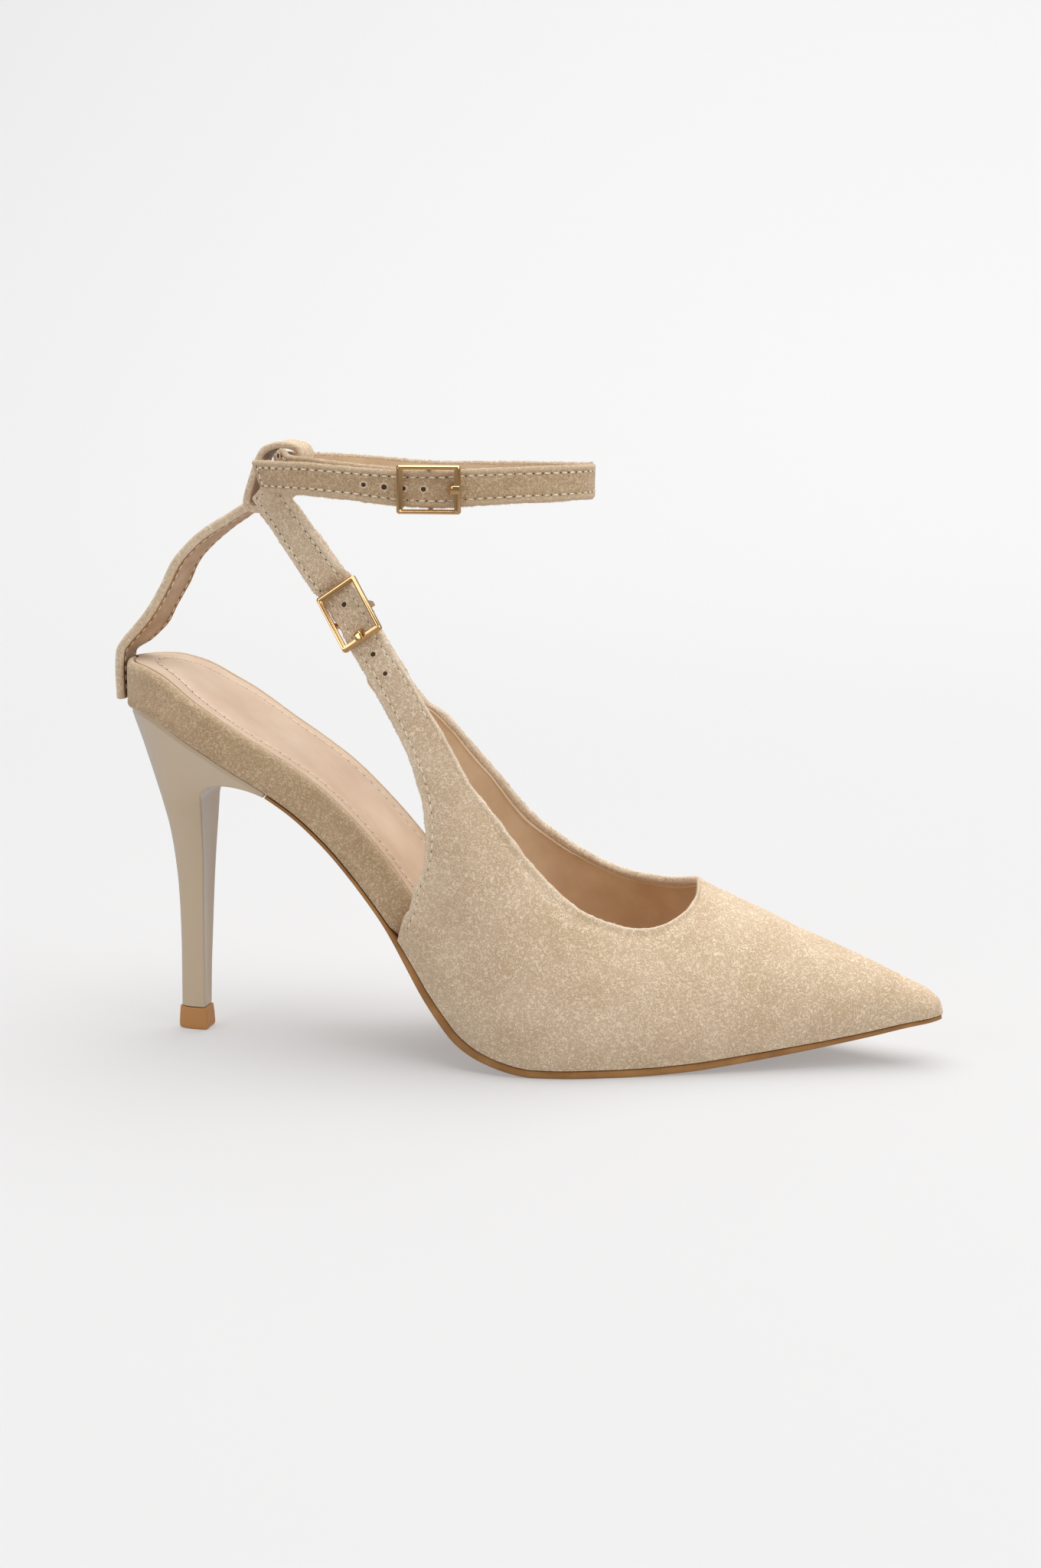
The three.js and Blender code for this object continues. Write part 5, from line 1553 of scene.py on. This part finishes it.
@dataclass
class Heel:
    """The lacquered stiletto: a half-oval stem with a flat breast, flaring into the seat and its lip."""

    last: Last = Last()
    tip_height: float = 6.2
    tip_length: float = 9.2
    tip_width: float = 7.8
    stem_length: float = 7.5
    stem_width: float = 7.0
    stem_top: float = 66.0
    seat_inset: float = 1.2
    back_inset: float = 3.0
    lip_reach: float = 28.0
    lip_thickness: float = 1.2
    clearance: float = 0.3
    power: float = 2.4
    corner: float = 0.55
    hollow: float = 0.35
    tip_rows = (
        (0, 0.9), (0.03, 0.95), (0.08, 0.99), (0.2, 1), (0.6, 0.97), (0.93, 0.93), (0.98, 0.92), (1, 0.9)
    )
    stem = Table(
        "up back front half",
        [
            (0, 0.493, 0.507, 0.486), (0.16, 0.48, 0.527, 0.536), (0.31, 0.467, 0.56, 0.621),
            (0.45, 0.48, 0.593, 0.714), (0.58, 0.52, 0.627, 0.8), (0.73, 0.633, 0.673, 0.93),
            (0.86, 0.787, 0.707, 1.13), (1, 1.067, 0.74, 1.343),
        ],
    )

    def half_oval(self, back: float, front: float, half: float, turn: Array) -> tuple[Array, Array]:
        """X and Y round a half oval, from its near front corner to its far one.

        Args:
            back: X of its back.
            front: X of its flat front.
            half: Its half width.
            turn: Shares of the way.

        Returns:
            The X and the Y of each place.
        """
        angle = math.pi * turn
        across = np.cos(angle)
        deep = np.clip(np.sin(angle), 0.0, 1.0) ** (2.0 / self.power)
        wide = np.sign(across) * np.abs(across) ** (2.0 / self.power)
        return front - (front - back) * deep, -half * wide

    def stem_side(self, up: float, turn: Array) -> Array:
        """The stem's side at a share of its height."""
        base = self.tip_height + self.clearance
        back = -float(self.stem.at("back", up)) * self.stem_length
        front = float(self.stem.at("front", up)) * self.stem_length
        half = float(self.stem.at("half", up)) * self.stem_width
        x, y = self.half_oval(back, front, half, turn)
        return np.stack([x, y, np.full_like(x, base + (self.stem_top - base) * up)], axis=-1)

    def seat(self, turn: Array, depth: float) -> Array:
        """The seat's outline under the footbed.

        Args:
            turn: Shares of the way round.
            depth: How far below the footbed.

        Returns:
            The points.
        """
        deep = np.clip(np.sin(math.pi * turn), 0.0, 1.0) ** (2.0 / self.power)
        back = self.last.seat_back + self.back_inset
        x = self.lip_reach - (self.lip_reach - back) * deep
        near = -self.last.outline(x, Side.LATERAL, self.seat_inset)
        far = self.last.outline(x, Side.MEDIAL, self.seat_inset)
        y = np.where(turn < 0.4999, near, np.where(turn > 0.5001, far, 0.0))
        return self.last.over_edge(x, y, -self.clearance - depth)

    def flare(self, t: float, turn: Array) -> Array:
        """The side between the stem and the lip, at a share of the way.

        Args:
            t: The share, from the stem to the lip.
            turn: Shares of the way round.

        Returns:
            The points.
        """
        sweep = np.sin(math.pi * turn) ** 2
        across = np.cos(math.pi * turn)
        start = self.stem_side(1.0, turn)
        end = self.seat(turn, self.lip_thickness)
        leave = np.stack([-4.5 * sweep, -12.0 * across, 22.0 - 5.0 * sweep], axis=-1)
        arrive = np.stack(
            [20.0 - 24.0 * sweep, -8.0 * np.sin(2.0 * math.pi * turn), -9.0 + 22.0 * sweep], axis=-1
        )
        u = 1.0 - t
        along = start * (1.0 + 2.0 * t) * u * u + leave * t * u * u
        return along + end * t * t * (3.0 - 2.0 * t) - arrive * t * t * u

    def ring(self, side: Array, hollow: float) -> Array:
        """A closed ring from a side, with softened front corners and a hollowed breast.

        Args:
            side: Places from the near front corner round the back to the far one.
            hollow: How far the breast sinks at its middle.

        Returns:
            The side, the far corner, the breast and the near corner, as one ring.
        """
        track = Line(side, side, side)
        reach = min(self.corner, 0.2 * track.length)
        steps = 0.5 - 0.5 * np.cos(np.linspace(0.0, math.pi, 65))
        s = reach + (track.length - 2.0 * reach) * (0.6 * np.linspace(0.0, 1.0, 65) + 0.4 * steps)
        flank = track.spot(s, 0.0)
        first, last = side[0], side[-1]
        across = unit(last - first)
        front_far = last - across * reach
        front_near = first + across * reach

        def bend(a: Array, control: Array, b: Array) -> Array:
            """Four places round a corner."""
            t = np.linspace(0.0, 1.0, 6)[1:-1, None]
            return a * (1.0 - t) ** 2 + 2.0 * control * t * (1.0 - t) + b * t * t

        share = np.linspace(0.0, 1.0, 13)[:, None]
        breast = front_far * (1.0 - share) + front_near * share
        breast = breast - np.array([hollow, 0.0, 0.0]) * np.sin(math.pi * share)
        far_corner = bend(flank[-1], last, front_far)
        near_corner = bend(front_near, first, flank[0])
        return np.concatenate([flank, far_corner, breast, near_corner])

    def close(self, skin: Skin, rings: Sequence[Array], finish: Face = Face.OUTER) -> None:
        """Joins rings, from the lowest to the highest, and caps both ends.

        Args:
            skin: Takes the faces.
            rings: Rings made by ring().
            finish: The finish of all the faces.
        """
        wound = np.array([np.concatenate([ring, ring[:1]]) for ring in rings])
        skin.grid(wound, finish)
        for ring in (rings[0], rings[-1]):
            flank = ring[:65]
            pairs = np.stack([flank[:33], flank[64:31:-1]], axis=1)
            skin.grid(pairs, finish)
            skin.cap(np.concatenate([ring[64:], ring[:1]]), finish)

    def build(self, finishes: Finishes) -> None:
        """Makes the heel and its rubber tip."""
        turn = 0.5 - 0.5 * np.cos(np.linspace(0.0, math.pi, 161))
        rings = []
        for up in np.linspace(0.0, 1.0, 44):
            rings.append(self.ring(self.stem_side(float(up), turn), self.hollow * min(1.0, 12.0 * float(up))))
        for t in np.linspace(0.0, 1.0, 34)[1:]:
            rings.append(self.ring(self.flare(float(t), turn), self.hollow * (1.0 - float(t)) ** 2))
        for share in (0.35, 0.75, 1.0):
            rings.append(self.ring(self.seat(turn, self.lip_thickness * (1.0 - share)), 0.0))
        skin = Skin()
        self.close(skin, rings)
        made = skin.piece("heel_lacquered", [finishes.lacquer], sharp=60.0)
        settle(made, "lacquer", "heel")
        self.tip(finishes, turn)

    def tip(self, finishes: Finishes, turn: Array) -> None:
        """The rubber lift under the stem, with a softened tread edge."""
        rings = []
        for up, grow in self.tip_rows:
            long, wide = self.tip_length / 2 * grow, self.tip_width / 2 * grow
            x, y = self.half_oval(-long, long, wide, turn)
            rings.append(self.ring(np.stack([x, y, np.full_like(x, up * self.tip_height)], axis=-1), 0.1))
        skin = Skin()
        self.close(skin, rings)
        made = skin.piece("heel_tip_rubber", [finishes.rubber], sharp=60.0)
        settle(made, "tip_rubber", "heel_tip")


# Straps


@dataclass
class AnkleStrap:
    """The long strap round the ankle: through the stay's loop, round the front and through its buckle."""

    centre: float = 66.0
    half_length: float = 46.5
    half_width: float = 23.0
    height: float = 153.6
    width: float = 9.3
    thickness: float = 1.8
    root: float = 3.1
    tail: float = -1.678
    buckle: float = -0.897
    slant: float = 4.8
    tab_turn: float = 2.26
    tab_hole: float = 2.4
    under_inset: float = 6.9
    holes: tuple[float, ...] = (56.1, 61.6, 66.7, 72.0)
    spiral = Table(
        "turn lift out width",
        [
            (-1.74, 2.1, 1.7, 0.9), (-1.4, 2, 1.1, 0.94), (-1.2, 1.2, 0.3, 0.96), (-1, 0, 0, 1.04),
            (-0.88, -0.2, 0, 1.07), (-0.75, 0.3, 0, 1.06), (-0.5, 0.9, 0, 1.03), (0, 1.1, 0, 1),
            (0.4, 0.6, 0, 1), (1, 0, 0, 1), (1.4, 1.9, 0, 1), (2, 3.5, 0, 0.97), (2.2, 3.6, 0, 0.97),
            (2.27, 5, 0, 0.97), (2.36, 3.4, 0, 0.97), (2.5, 3, 0, 0.97), (3.07, 0.4, 0, 0.97),
        ],
    )

    def spots(self, turn: Array) -> Line:
        """The strap's line at quarter turns round the ankle's oval."""
        angle = turn * math.pi / 2.0
        under = smoothstep(turn, 1.0, 2.0)
        length = np.where(turn > 1.0, self.half_length - self.under_inset, self.half_length)
        wide = self.half_width + (-self.thickness - 0.6) * under
        x = self.centre + length * np.cos(angle)
        y = wide * np.sin(angle)
        normal = unit(np.stack([np.cos(angle) / length, np.sin(angle) / wide, 0.0 * angle], axis=-1))
        middle = np.stack([x, y, self.height + self.spiral.at("lift", turn)], axis=-1)
        middle = middle + normal * (self.thickness / 2.0 + self.spiral.at("out", turn))[:, None]
        return Line(middle, np.tile(np.array([0.0, 0.0, 1.0]), (len(turn), 1)), normal)

    def build(self, finishes: Finishes, stitching: Stitching) -> None:
        """Makes the strap and gives its two stitch rows to the stitching."""
        turn = np.linspace(self.root, self.tail - 0.12, 1400)
        line = self.spots(turn)
        end = float(np.interp(-self.tail, -turn, line.along))

        def width(s: Array) -> Array:
            """The strap's width at distances along it."""
            return self.width * self.spiral.at("width", np.interp(s, line.along, turn))

        skin = Skin()
        for edge, away in Band(self.thickness).sweep(skin, line, width, 0.0, end, 0.75, self.slant):
            stitching.fuzz(edge, away, 0.5)
        # The strap is drawn in the darker suede: painted shade.
        made = skin.piece("ankle_strap_suede", [finishes.suede_in_shade, finishes.lining])
        settle(made, "suede", "ankle_strap")
        for edge in (-1.0, 1.0):
            s = np.arange(2.0, end - 1.5 + 1.2 * edge, 0.6)
            across = edge * (width(s) / 2.0 - 1.9)
            _, _, normal = line.frame(s)
            stitching.row(line.spot(s, across, 0.0), normal, -0.1)
        across = np.linspace(-0.5, 0.5, 9) * (self.width - 3.8)
        s = end - 1.9 + self.slant * across / self.width
        stitching.row(line.spot(s, across), line.frame(s)[2], -0.05, 2.2)
        turns = -np.arccos((np.array(self.holes) - self.centre) / self.half_length) / (math.pi / 2.0)
        s = np.interp(-np.append(turns, self.tab_turn), -turn, line.along)
        across = np.append(np.zeros(len(turns)), self.tab_hole)
        middle, _, normal = line.frame(s)
        ahead = unit(line.frame(s + 0.5)[0] - middle)
        stitching.punch(line.spot(s, across, 0.1), ahead, normal)


@dataclass
class BuckleStrap:
    """The short strap that holds the side buckle, in line with the side strap above it."""

    upper: Upper
    start: float = 0.377
    stop: float = 1.07
    width: float = 10.8
    thickness: float = 1.8

    def build(self, finishes: Finishes, stitching: Stitching) -> None:
        """Makes the strap and gives its two stitch rows to the stitching."""
        tip = self.upper.tip_at

        def sink(t: Array) -> Array:
            """How deep the strap lies under the side strap's end."""
            return (1.0 - smoothstep(t, tip + 0.012, tip + 0.075)) * (self.thickness + 0.3)

        line = self.upper.side_route.line(self.start, self.stop, sink)
        shares = np.linspace(self.start, self.stop, 160)

        def width(s: Array) -> Array:
            """The strap's width at distances along it."""
            t = np.interp(s, line.along, shares)
            return (0.86 + 0.14 * smoothstep(t, 0.37, tip + 0.03)) * self.width

        skin = Skin()
        for edge, away in Band(self.thickness).sweep(skin, line, width):
            stitching.fuzz(edge, away, 0.5)
        made = skin.piece("buckle_strap_suede", [finishes.suede, finishes.lining])
        settle(made, "suede", "buckle_strap")
        first = float(np.interp(tip + 0.02, shares, line.along))
        for edge in (-1.0, 1.0):
            s = np.arange(first, line.length - 1.2, 0.6)
            _, _, normal = line.frame(s)
            stitching.row(line.spot(s, edge * (width(s) / 2.0 - 1.9)), normal, 0.04)
        across = np.linspace(-0.5, 0.5, 7) * (self.width - 3.8)
        s = np.full(7, line.length - 1.9)
        stitching.row(line.spot(s, across), line.frame(s)[2], -0.05, 2.2)


@dataclass
class BackStay:
    """The stay behind the heel and its loop round the ankle strap."""

    last: Last = Last()
    width: float = 12.0
    thickness: float = 2.4
    loop_wall: float = 1.9
    rise: float = 55.0
    foot: float = 93.5
    stay_rows = (
        (-1.5, 0), (-1.6, 0.205), (-0.2, 0.285), (6.2, 0.42), (11.2, 0.562), (14.8, 0.688),
        (19, 0.775), (24.6, 0.856), (31.1, 0.925), (36.6, 0.985),
    )
    loop_rows = (
        (35.5, 0.985), (36.7, 1.084), (37.7, 1.142), (39.3, 1.215), (40.9, 1.253), (44, 1.273),
        (47.6, 1.271), (50.3, 1.244), (49.8, 1.155), (47.6, 1.064), (42.6, 0.991), (38.6, 0.958),
    )
    twist = Table(
        "up slope",
        [
            (0, 0), (0.22, 0.02), (0.29, 0.32), (0.36, 0.36), (0.47, 0.26), (0.65, 0.25), (0.8, 0.22),
            (0.92, 0.08), (0.98, 0),
        ],
    )

    def turned(self, places: Array) -> Array:
        """The stay's places, its inner edge moved forward by the twist."""
        slope = self.twist.at("slope", (places[..., 2] - self.foot) / self.rise)
        forward = (places[..., 1] + self.width / 2.0) * slope
        return places + np.stack([forward, 0.0 * forward, 0.0 * forward], axis=-1)

    def smooth(self, rows: Sequence[tuple[float, float]], count: int, closed: bool) -> Array:
        """A smooth line through a table's rows, in the shoe's upright plane.

        Args:
            rows: Places behind the seat and shares of the rise.
            count: How many points.
            closed: Whether it is a ring.

        Returns:
            The points.
        """
        knots = np.array([(self.last.seat_back + x, 0.0, self.foot + up * self.rise) for x, up in rows])
        if closed:
            padded = np.concatenate([knots[-1:], knots, knots[:2]])
            spans = len(knots)
        else:
            padded = np.concatenate([2 * knots[:1] - knots[1:2], knots, 2 * knots[-1:] - knots[-2:-1]])
            spans = len(knots) - 1
        places = []
        for share in np.linspace(0.0, spans, count):
            i = min(int(share), spans - 1)
            t = share - i
            a, b, c, d = padded[i : i + 4]
            low = 2 * b + (c - a) * t + (2 * a - 5 * b + 4 * c - d) * t * t
            places.append(0.5 * (low + (3 * b - a - 3 * c + d) * t**3))
        return np.array(places)

    def line(self, places: Array, offset: float) -> Line:
        """The band's line on its outer face, an offset away from the middle of its wall."""
        tangent = unit(np.gradient(places, axis=0))
        normal = np.stack([-tangent[:, 2], 0.0 * tangent[:, 0], tangent[:, 0]], axis=-1)
        across = np.tile(np.array([0.0, 1.0, 0.0]), (len(places), 1))
        return Line(places + normal * offset, across, normal)

    def build(self, finishes: Finishes, stitching: Stitching) -> None:
        """Makes the stay and its loop, with stitches along their edges."""
        skin = Skin()
        stay = self.line(self.smooth(self.stay_rows, 240, False), self.thickness / 2.0)
        edges = Band(self.thickness, roll=0.9).sweep(
            skin, stay, lambda s: self.width + 0.0 * s, bend=self.turned, fold=2
        )
        loop_places = self.smooth(self.loop_rows, 260, True)
        loop = self.line(loop_places, self.loop_wall / 2.0)
        for values in (loop.across, loop.normal):
            values[0] = values[-1] = unit(values[0] + values[-1])
        edges += Band(self.loop_wall, roll=0.8).sweep(skin, loop, lambda s: self.width + 0.0 * s, closed=True)
        for edge, away in edges:
            stitching.fuzz(edge, away, 0.6)
        # The stay's inner face is drawn in the darker lining: painted shade.
        made = skin.piece("back_stay_suede", [finishes.suede, finishes.stay_lining_in_shade, finishes.cut_edge])
        settle(made, "suede", "back_stay")
        for edge in (-1.0, 1.0):
            s = np.arange(2.0, stay.length - 3.0, 0.6)
            _, _, normal = stay.frame(s)
            across = edge * (self.width / 2.0 - 2.0) + 0.0 * s
            stitching.row(self.turned(stay.spot(s, across, 0.0)), normal, -0.05)
            stitching.row(self.turned(stay.spot(s, across, -self.thickness)), -normal, 0.08)


# Buckles


@dataclass
class Buckle:
    """A gilt frame on a strap's face, its centre bar under the strap, and its prong."""

    name: str
    middle: Array
    along: Array
    normal: Array
    turned: float = 0.0
    length: float = 16.9
    width: float = 12.7
    end_bar: float = 1.7
    rail: float = 1.2
    thickness: float = 1.7
    lift: float = 0.55
    strap: float = 1.8
    clearance: float = 0.3
    centre_bar: float = 1.5
    prong_width: float = 2.2
    prong_hole: float = 5.1

    def place(self, local: Array) -> Array:
        """Places in the shoe, from along the strap, across it and out of its face.

        Args:
            local: Places in the buckle's own frame.

        Returns:
            The same places in the shoe's frame.
        """
        normal = unit(self.normal)
        along = unit(self.along)
        along = along * math.cos(self.turned) + np.cross(normal, along) * math.sin(self.turned)
        basis = np.stack([along, np.cross(normal, along), normal])
        return local @ basis + self.middle

    def frame(self, skin: Skin) -> None:
        """Adds the frame: a ring with a broad outer bevel and a stepped inner edge."""
        profile = [
            (0.10, 0.0), (0.0, 0.14), (0.0, 0.62), (0.05, 0.74), (0.26, 0.97), (0.33, 1.0), (0.5, 1.0),
            (0.56, 0.95), (0.62, 0.72), (0.68, 0.66), (0.93, 0.62), (1.0, 0.55), (1.0, 0.1),
            (0.93, 0.0), (0.5, 0.0), (0.10, 0.0),
        ]
        loops = []
        for inward, height in profile:
            a = self.length / 2.0 - self.end_bar * inward
            b = self.width / 2.0 - self.rail * inward
            r = 0.75 - 0.5 * inward
            turn = np.linspace(0.0, math.pi / 2.0, 7)
            loop = []
            for quarter, (sx, sy) in enumerate(((1, 1), (-1, 1), (-1, -1), (1, -1))):
                angle = turn + quarter * math.pi / 2.0
                corner = [sx * (a - r) + r * np.cos(angle), sy * (b - r) + r * np.sin(angle)]
                loop.append(np.stack(corner, axis=-1))
            flat = np.concatenate(loop)
            flat = np.concatenate([flat, flat[:1]])
            z = np.full((len(flat), 1), self.lift + self.thickness * height)
            loops.append(np.concatenate([flat, z], axis=1))
        skin.grid(self.place(np.array(loops)))

    def rod(self, skin: Skin, path: Array, across: Array, half_width: Array, half_height: Array) -> None:
        """Adds a rounded rod along a path.

        Args:
            skin: Takes the faces.
            path: Places of the rod's middle, in the buckle's own frame.
            across: The rod's sideways direction.
            half_width: Half its width at each place.
            half_height: Half its height at each place.
        """
        tangent = unit(np.gradient(path, axis=0))
        out = unit(np.cross(tangent, across))
        turn = np.linspace(0.0, 2.0 * math.pi, 25)
        wide = np.sign(np.cos(turn)) * np.abs(np.cos(turn)) ** 0.6
        high = np.sign(np.sin(turn)) * np.abs(np.sin(turn)) ** 0.6
        grid = (
            path[:, None]
            + across * (wide[None, :] * half_width[:, None])[..., None]
            + out[:, None] * (high[None, :] * half_height[:, None])[..., None]
        )
        grid = self.place(grid)
        skin.grid(grid)
        skin.cap(grid[0, :-1])
        skin.cap(grid[-1, :-1][::-1])

    def bar(self, skin: Skin) -> None:
        """Adds the centre bar under the strap and the two posts that carry it."""
        under = -self.strap - self.clearance - self.centre_bar / 2.0
        reach = self.width / 2.0 - self.rail / 2.0
        top = self.lift + self.thickness * 0.4
        y = np.concatenate([np.full(3, -reach), np.linspace(-reach, reach, 9), np.full(3, reach)])
        post = np.linspace(top, under + 0.5, 3)
        z = np.concatenate([post, np.full(9, under), post[::-1]])
        path = np.stack([0.0 * y, y, z], axis=-1)
        size = np.full(len(y), self.rail / 2.0)
        self.rod(skin, path, np.array([1.0, 0.0, 0.0]), size * 1.1, size * 0.92)

    def build(self, finishes: Finishes) -> None:
        """Makes the frame with its bar, and the prong."""
        skin = Skin()
        self.frame(skin)
        self.bar(skin)
        made = skin.piece(self.name + "_frame_gilt", [finishes.gilt], sharp=28.0)
        settle(made, "gilt", self.name + "_frame")
        self.prong(finishes)

    def prong(self, finishes: Finishes) -> None:
        """The prong: off the centre bar, up through the strap's hole and over the end bar."""
        under = -self.strap - self.clearance
        top = self.lift + self.thickness + self.clearance
        bar_edge = -self.length / 2.0 + self.end_bar
        knots = np.array(
            [
                (-self.centre_bar / 2.0 - self.clearance, 0.0, under - 0.65),
                (-self.prong_hole + 1.2, 0.0, under - 0.65),
                (-self.prong_hole, 0.0, under),
                (-self.prong_hole - 0.05, 0.0, 0.4),
                (-self.prong_hole - 0.5, 0.0, 1.6),
                (bar_edge + 0.4, 0.0, top + 0.45),
                (-self.length / 2.0 + 0.5, 0.0, top + 0.4),
                (-self.length / 2.0 + 0.1, 0.0, top + 0.3),
            ]
        )
        share = np.linspace(0.0, len(knots) - 1.0, 60)
        path = np.stack([np.interp(share, np.arange(len(knots)), knots[:, k]) for k in range(3)], axis=-1)
        for _ in range(3):
            path[1:-1] = 0.25 * path[:-2] + 0.5 * path[1:-1] + 0.25 * path[2:]
        close = smoothstep(share, len(knots) - 1.35, len(knots) - 1.0)
        start = 1.0 - smoothstep(share, 0.0, 0.2)
        size = 1.0 - 0.35 * close - 0.2 * start
        skin = Skin()
        half = np.full(60, self.prong_width / 2.0) * size
        self.rod(skin, path, np.array([0.0, 1.0, 0.0]), half, 0.5 * size)
        made = skin.piece(self.name + "_prong_gilt", [finishes.gilt], sharp=40.0)
        settle(made, "gilt", self.name + "_prong")


# The studio


@dataclass(frozen=True)
class Studio:
    """A pale seamless floor that sweeps up behind, soft light and the camera."""

    floor: str = "#A9A8A8"
    floor_glow: float = 0.3
    wall_glow: float = 0.47
    mirror_dimming: float = 0.5  # how much darker the paper looks to mirror rays: a painted dark reflection in the gilt and lacquer, with no dark card in the scene
    target: tuple[float, float, float] = (93.3, 0.0, 72.3)
    azimuth: float = 10.7
    elevation: float = 9.6
    distance: float = 760.0
    focal_pixels: float = 3648.0
    frame_height: float = 2048.0
    air: float = 0.22
    aim: tuple[float, float, float] = (90.0, 0.0, 70.0)
    lights = (
        ("overhead_softbox", (250.0, 250.0, 2000.0), 2800.0, 68.0),
        ("front_left_softbox", (-900.0, -1200.0, 700.0), 900.0, 4.5),
        ("right_softbox", (1300.0, -500.0, 700.0), 900.0, 5.6),
    )

    def backdrop(self) -> None:
        """Makes the floor and its sweep."""
        turn = np.linspace(0.0, math.pi / 2.0, 25)
        radius = 900.0
        y = np.concatenate([[-4000.0, -1500.0, 0.0], 1200.0 + radius * np.sin(turn), [1200.0 + radius]])
        z = np.concatenate([[0.0, 0.0, 0.0], radius * (1.0 - np.cos(turn)), [4000.0]])
        rows = [np.stack([np.full_like(y, x), y, z - 0.02], axis=-1) for x in (-4000.0, 0.0, 4000.0)]
        skin = Skin()
        skin.grid(np.array(rows))
        recipe = Recipe("studio_paper")
        place = recipe.add("TexCoord").outputs["Object"]
        depth = recipe.add("SeparateXYZ", {0: place}).outputs["Y"]
        glow = recipe.add(
            "MapRange",
            {"Value": depth, "From Min": 0.25, "From Max": 2.0}
            | {"To Min": self.floor_glow, "To Max": self.wall_glow},
            interpolation_type="SMOOTHSTEP",
        )
        # Mirror rays see the paper darker and blacker than the eye does: a painted dark reflection.
        mirrored = recipe.add("LightPath").outputs["Is Glossy Ray"]
        dimmed = recipe.add("Math", {0: mirrored, 1: -self.mirror_dimming, 2: 1.0}, operation="MULTIPLY_ADD")
        shine = recipe.add("Math", {0: glow.outputs["Result"], 1: dimmed.outputs[0]}, operation="MULTIPLY")
        paper = recipe.add(
            "Mix", {0: dimmed.outputs[0], 6: linear("#000000"), 7: linear(self.floor)}, data_type="RGBA"
        )
        recipe.shade(
            Base_Color=paper.outputs[2],
            Roughness=1.0,
            Specular_IOR_Level=0.0,
            Emission_Color=linear("#FFFFFF"),
            Emission_Strength=shine.outputs[0],
        )
        made = skin.piece("studio_floor", [recipe.material])
        made.data.flip_normals()

    def light(self, name: str, place: Sequence[float], size: float, watts: float) -> None:
        """Adds one soft square light.

        Args:
            name: The light's name.
            place: Its place in millimetres.
            size: Its side in millimetres.
            watts: Its power.
        """
        lamp = bpy.data.lights.new(name, "AREA")
        lamp.energy = watts
        lamp.size = size * MM
        made = bpy.data.objects.new(name, lamp)
        made.location = Vector(place) * MM
        made.rotation_euler = (Vector(self.aim) - Vector(place)).to_track_quat("-Z", "Y").to_euler()
        bpy.context.scene.collection.objects.link(made)

    def build(self) -> None:
        """Makes the backdrop, the lights, the world and the camera."""
        self.backdrop()
        for name, place, size, watts in self.lights:
            self.light(name, place, size, watts)
        world = bpy.data.worlds.new("studio_air")
        world.use_nodes = True
        world.node_tree.nodes["Background"].inputs["Color"].default_value = linear("#FFFFFF")
        world.node_tree.nodes["Background"].inputs["Strength"].default_value = self.air
        scene = bpy.context.scene
        scene.world = world
        scene.view_settings.view_transform = "Standard"
        scene.view_settings.look = "None"
        lens = bpy.data.cameras.new("camera")
        lens.sensor_fit = "VERTICAL"
        lens.sensor_height = 36.0
        lens.lens = self.focal_pixels * lens.sensor_height / self.frame_height
        lens.clip_end = 20.0
        camera = bpy.data.objects.new("camera", lens)
        around, above = math.radians(self.azimuth), math.radians(self.elevation)
        back = Vector(
            (math.sin(around) * math.cos(above), -math.cos(around) * math.cos(above), math.sin(above))
        )
        camera.location = (Vector(self.target) + back * self.distance) * MM
        camera.rotation_euler = back.to_track_quat("Z", "Y").to_euler()
        scene.collection.objects.link(camera)
        scene.camera = camera


def main() -> None:
    """Builds the shoe piece by piece, then the studio."""
    logging.basicConfig(level=logging.INFO, format="%(message)s")
    finishes = Finishes()
    stitching = Stitching()
    upper = Upper()
    upper.build(finishes, stitching)
    Footbed().build(finishes, stitching)
    Outsole().build(finishes)
    Heel().build(finishes)
    ankle = AnkleStrap()
    ankle.build(finishes, stitching)
    BuckleStrap(upper).build(finishes, stitching)
    BackStay().build(finishes, stitching)
    around = ankle.spots(np.array([ankle.buckle]))
    Buckle(
        "ankle_buckle", around.middle[0], np.cross(around.normal[0], around.across[0]), around.normal[0]
    ).build(finishes)
    middle, _, _, normal = upper.side_route.frame(np.array([upper.buckle_at]))
    near, far = upper.side_route.middle(upper.buckle_at + np.array([-0.02, 0.02]))
    Buckle("side_buckle", middle[0], far - near, normal[0], turned=-0.1).build(finishes)
    stitching.build(finishes)
    Studio().build()


if __name__ == "__main__":
    main()
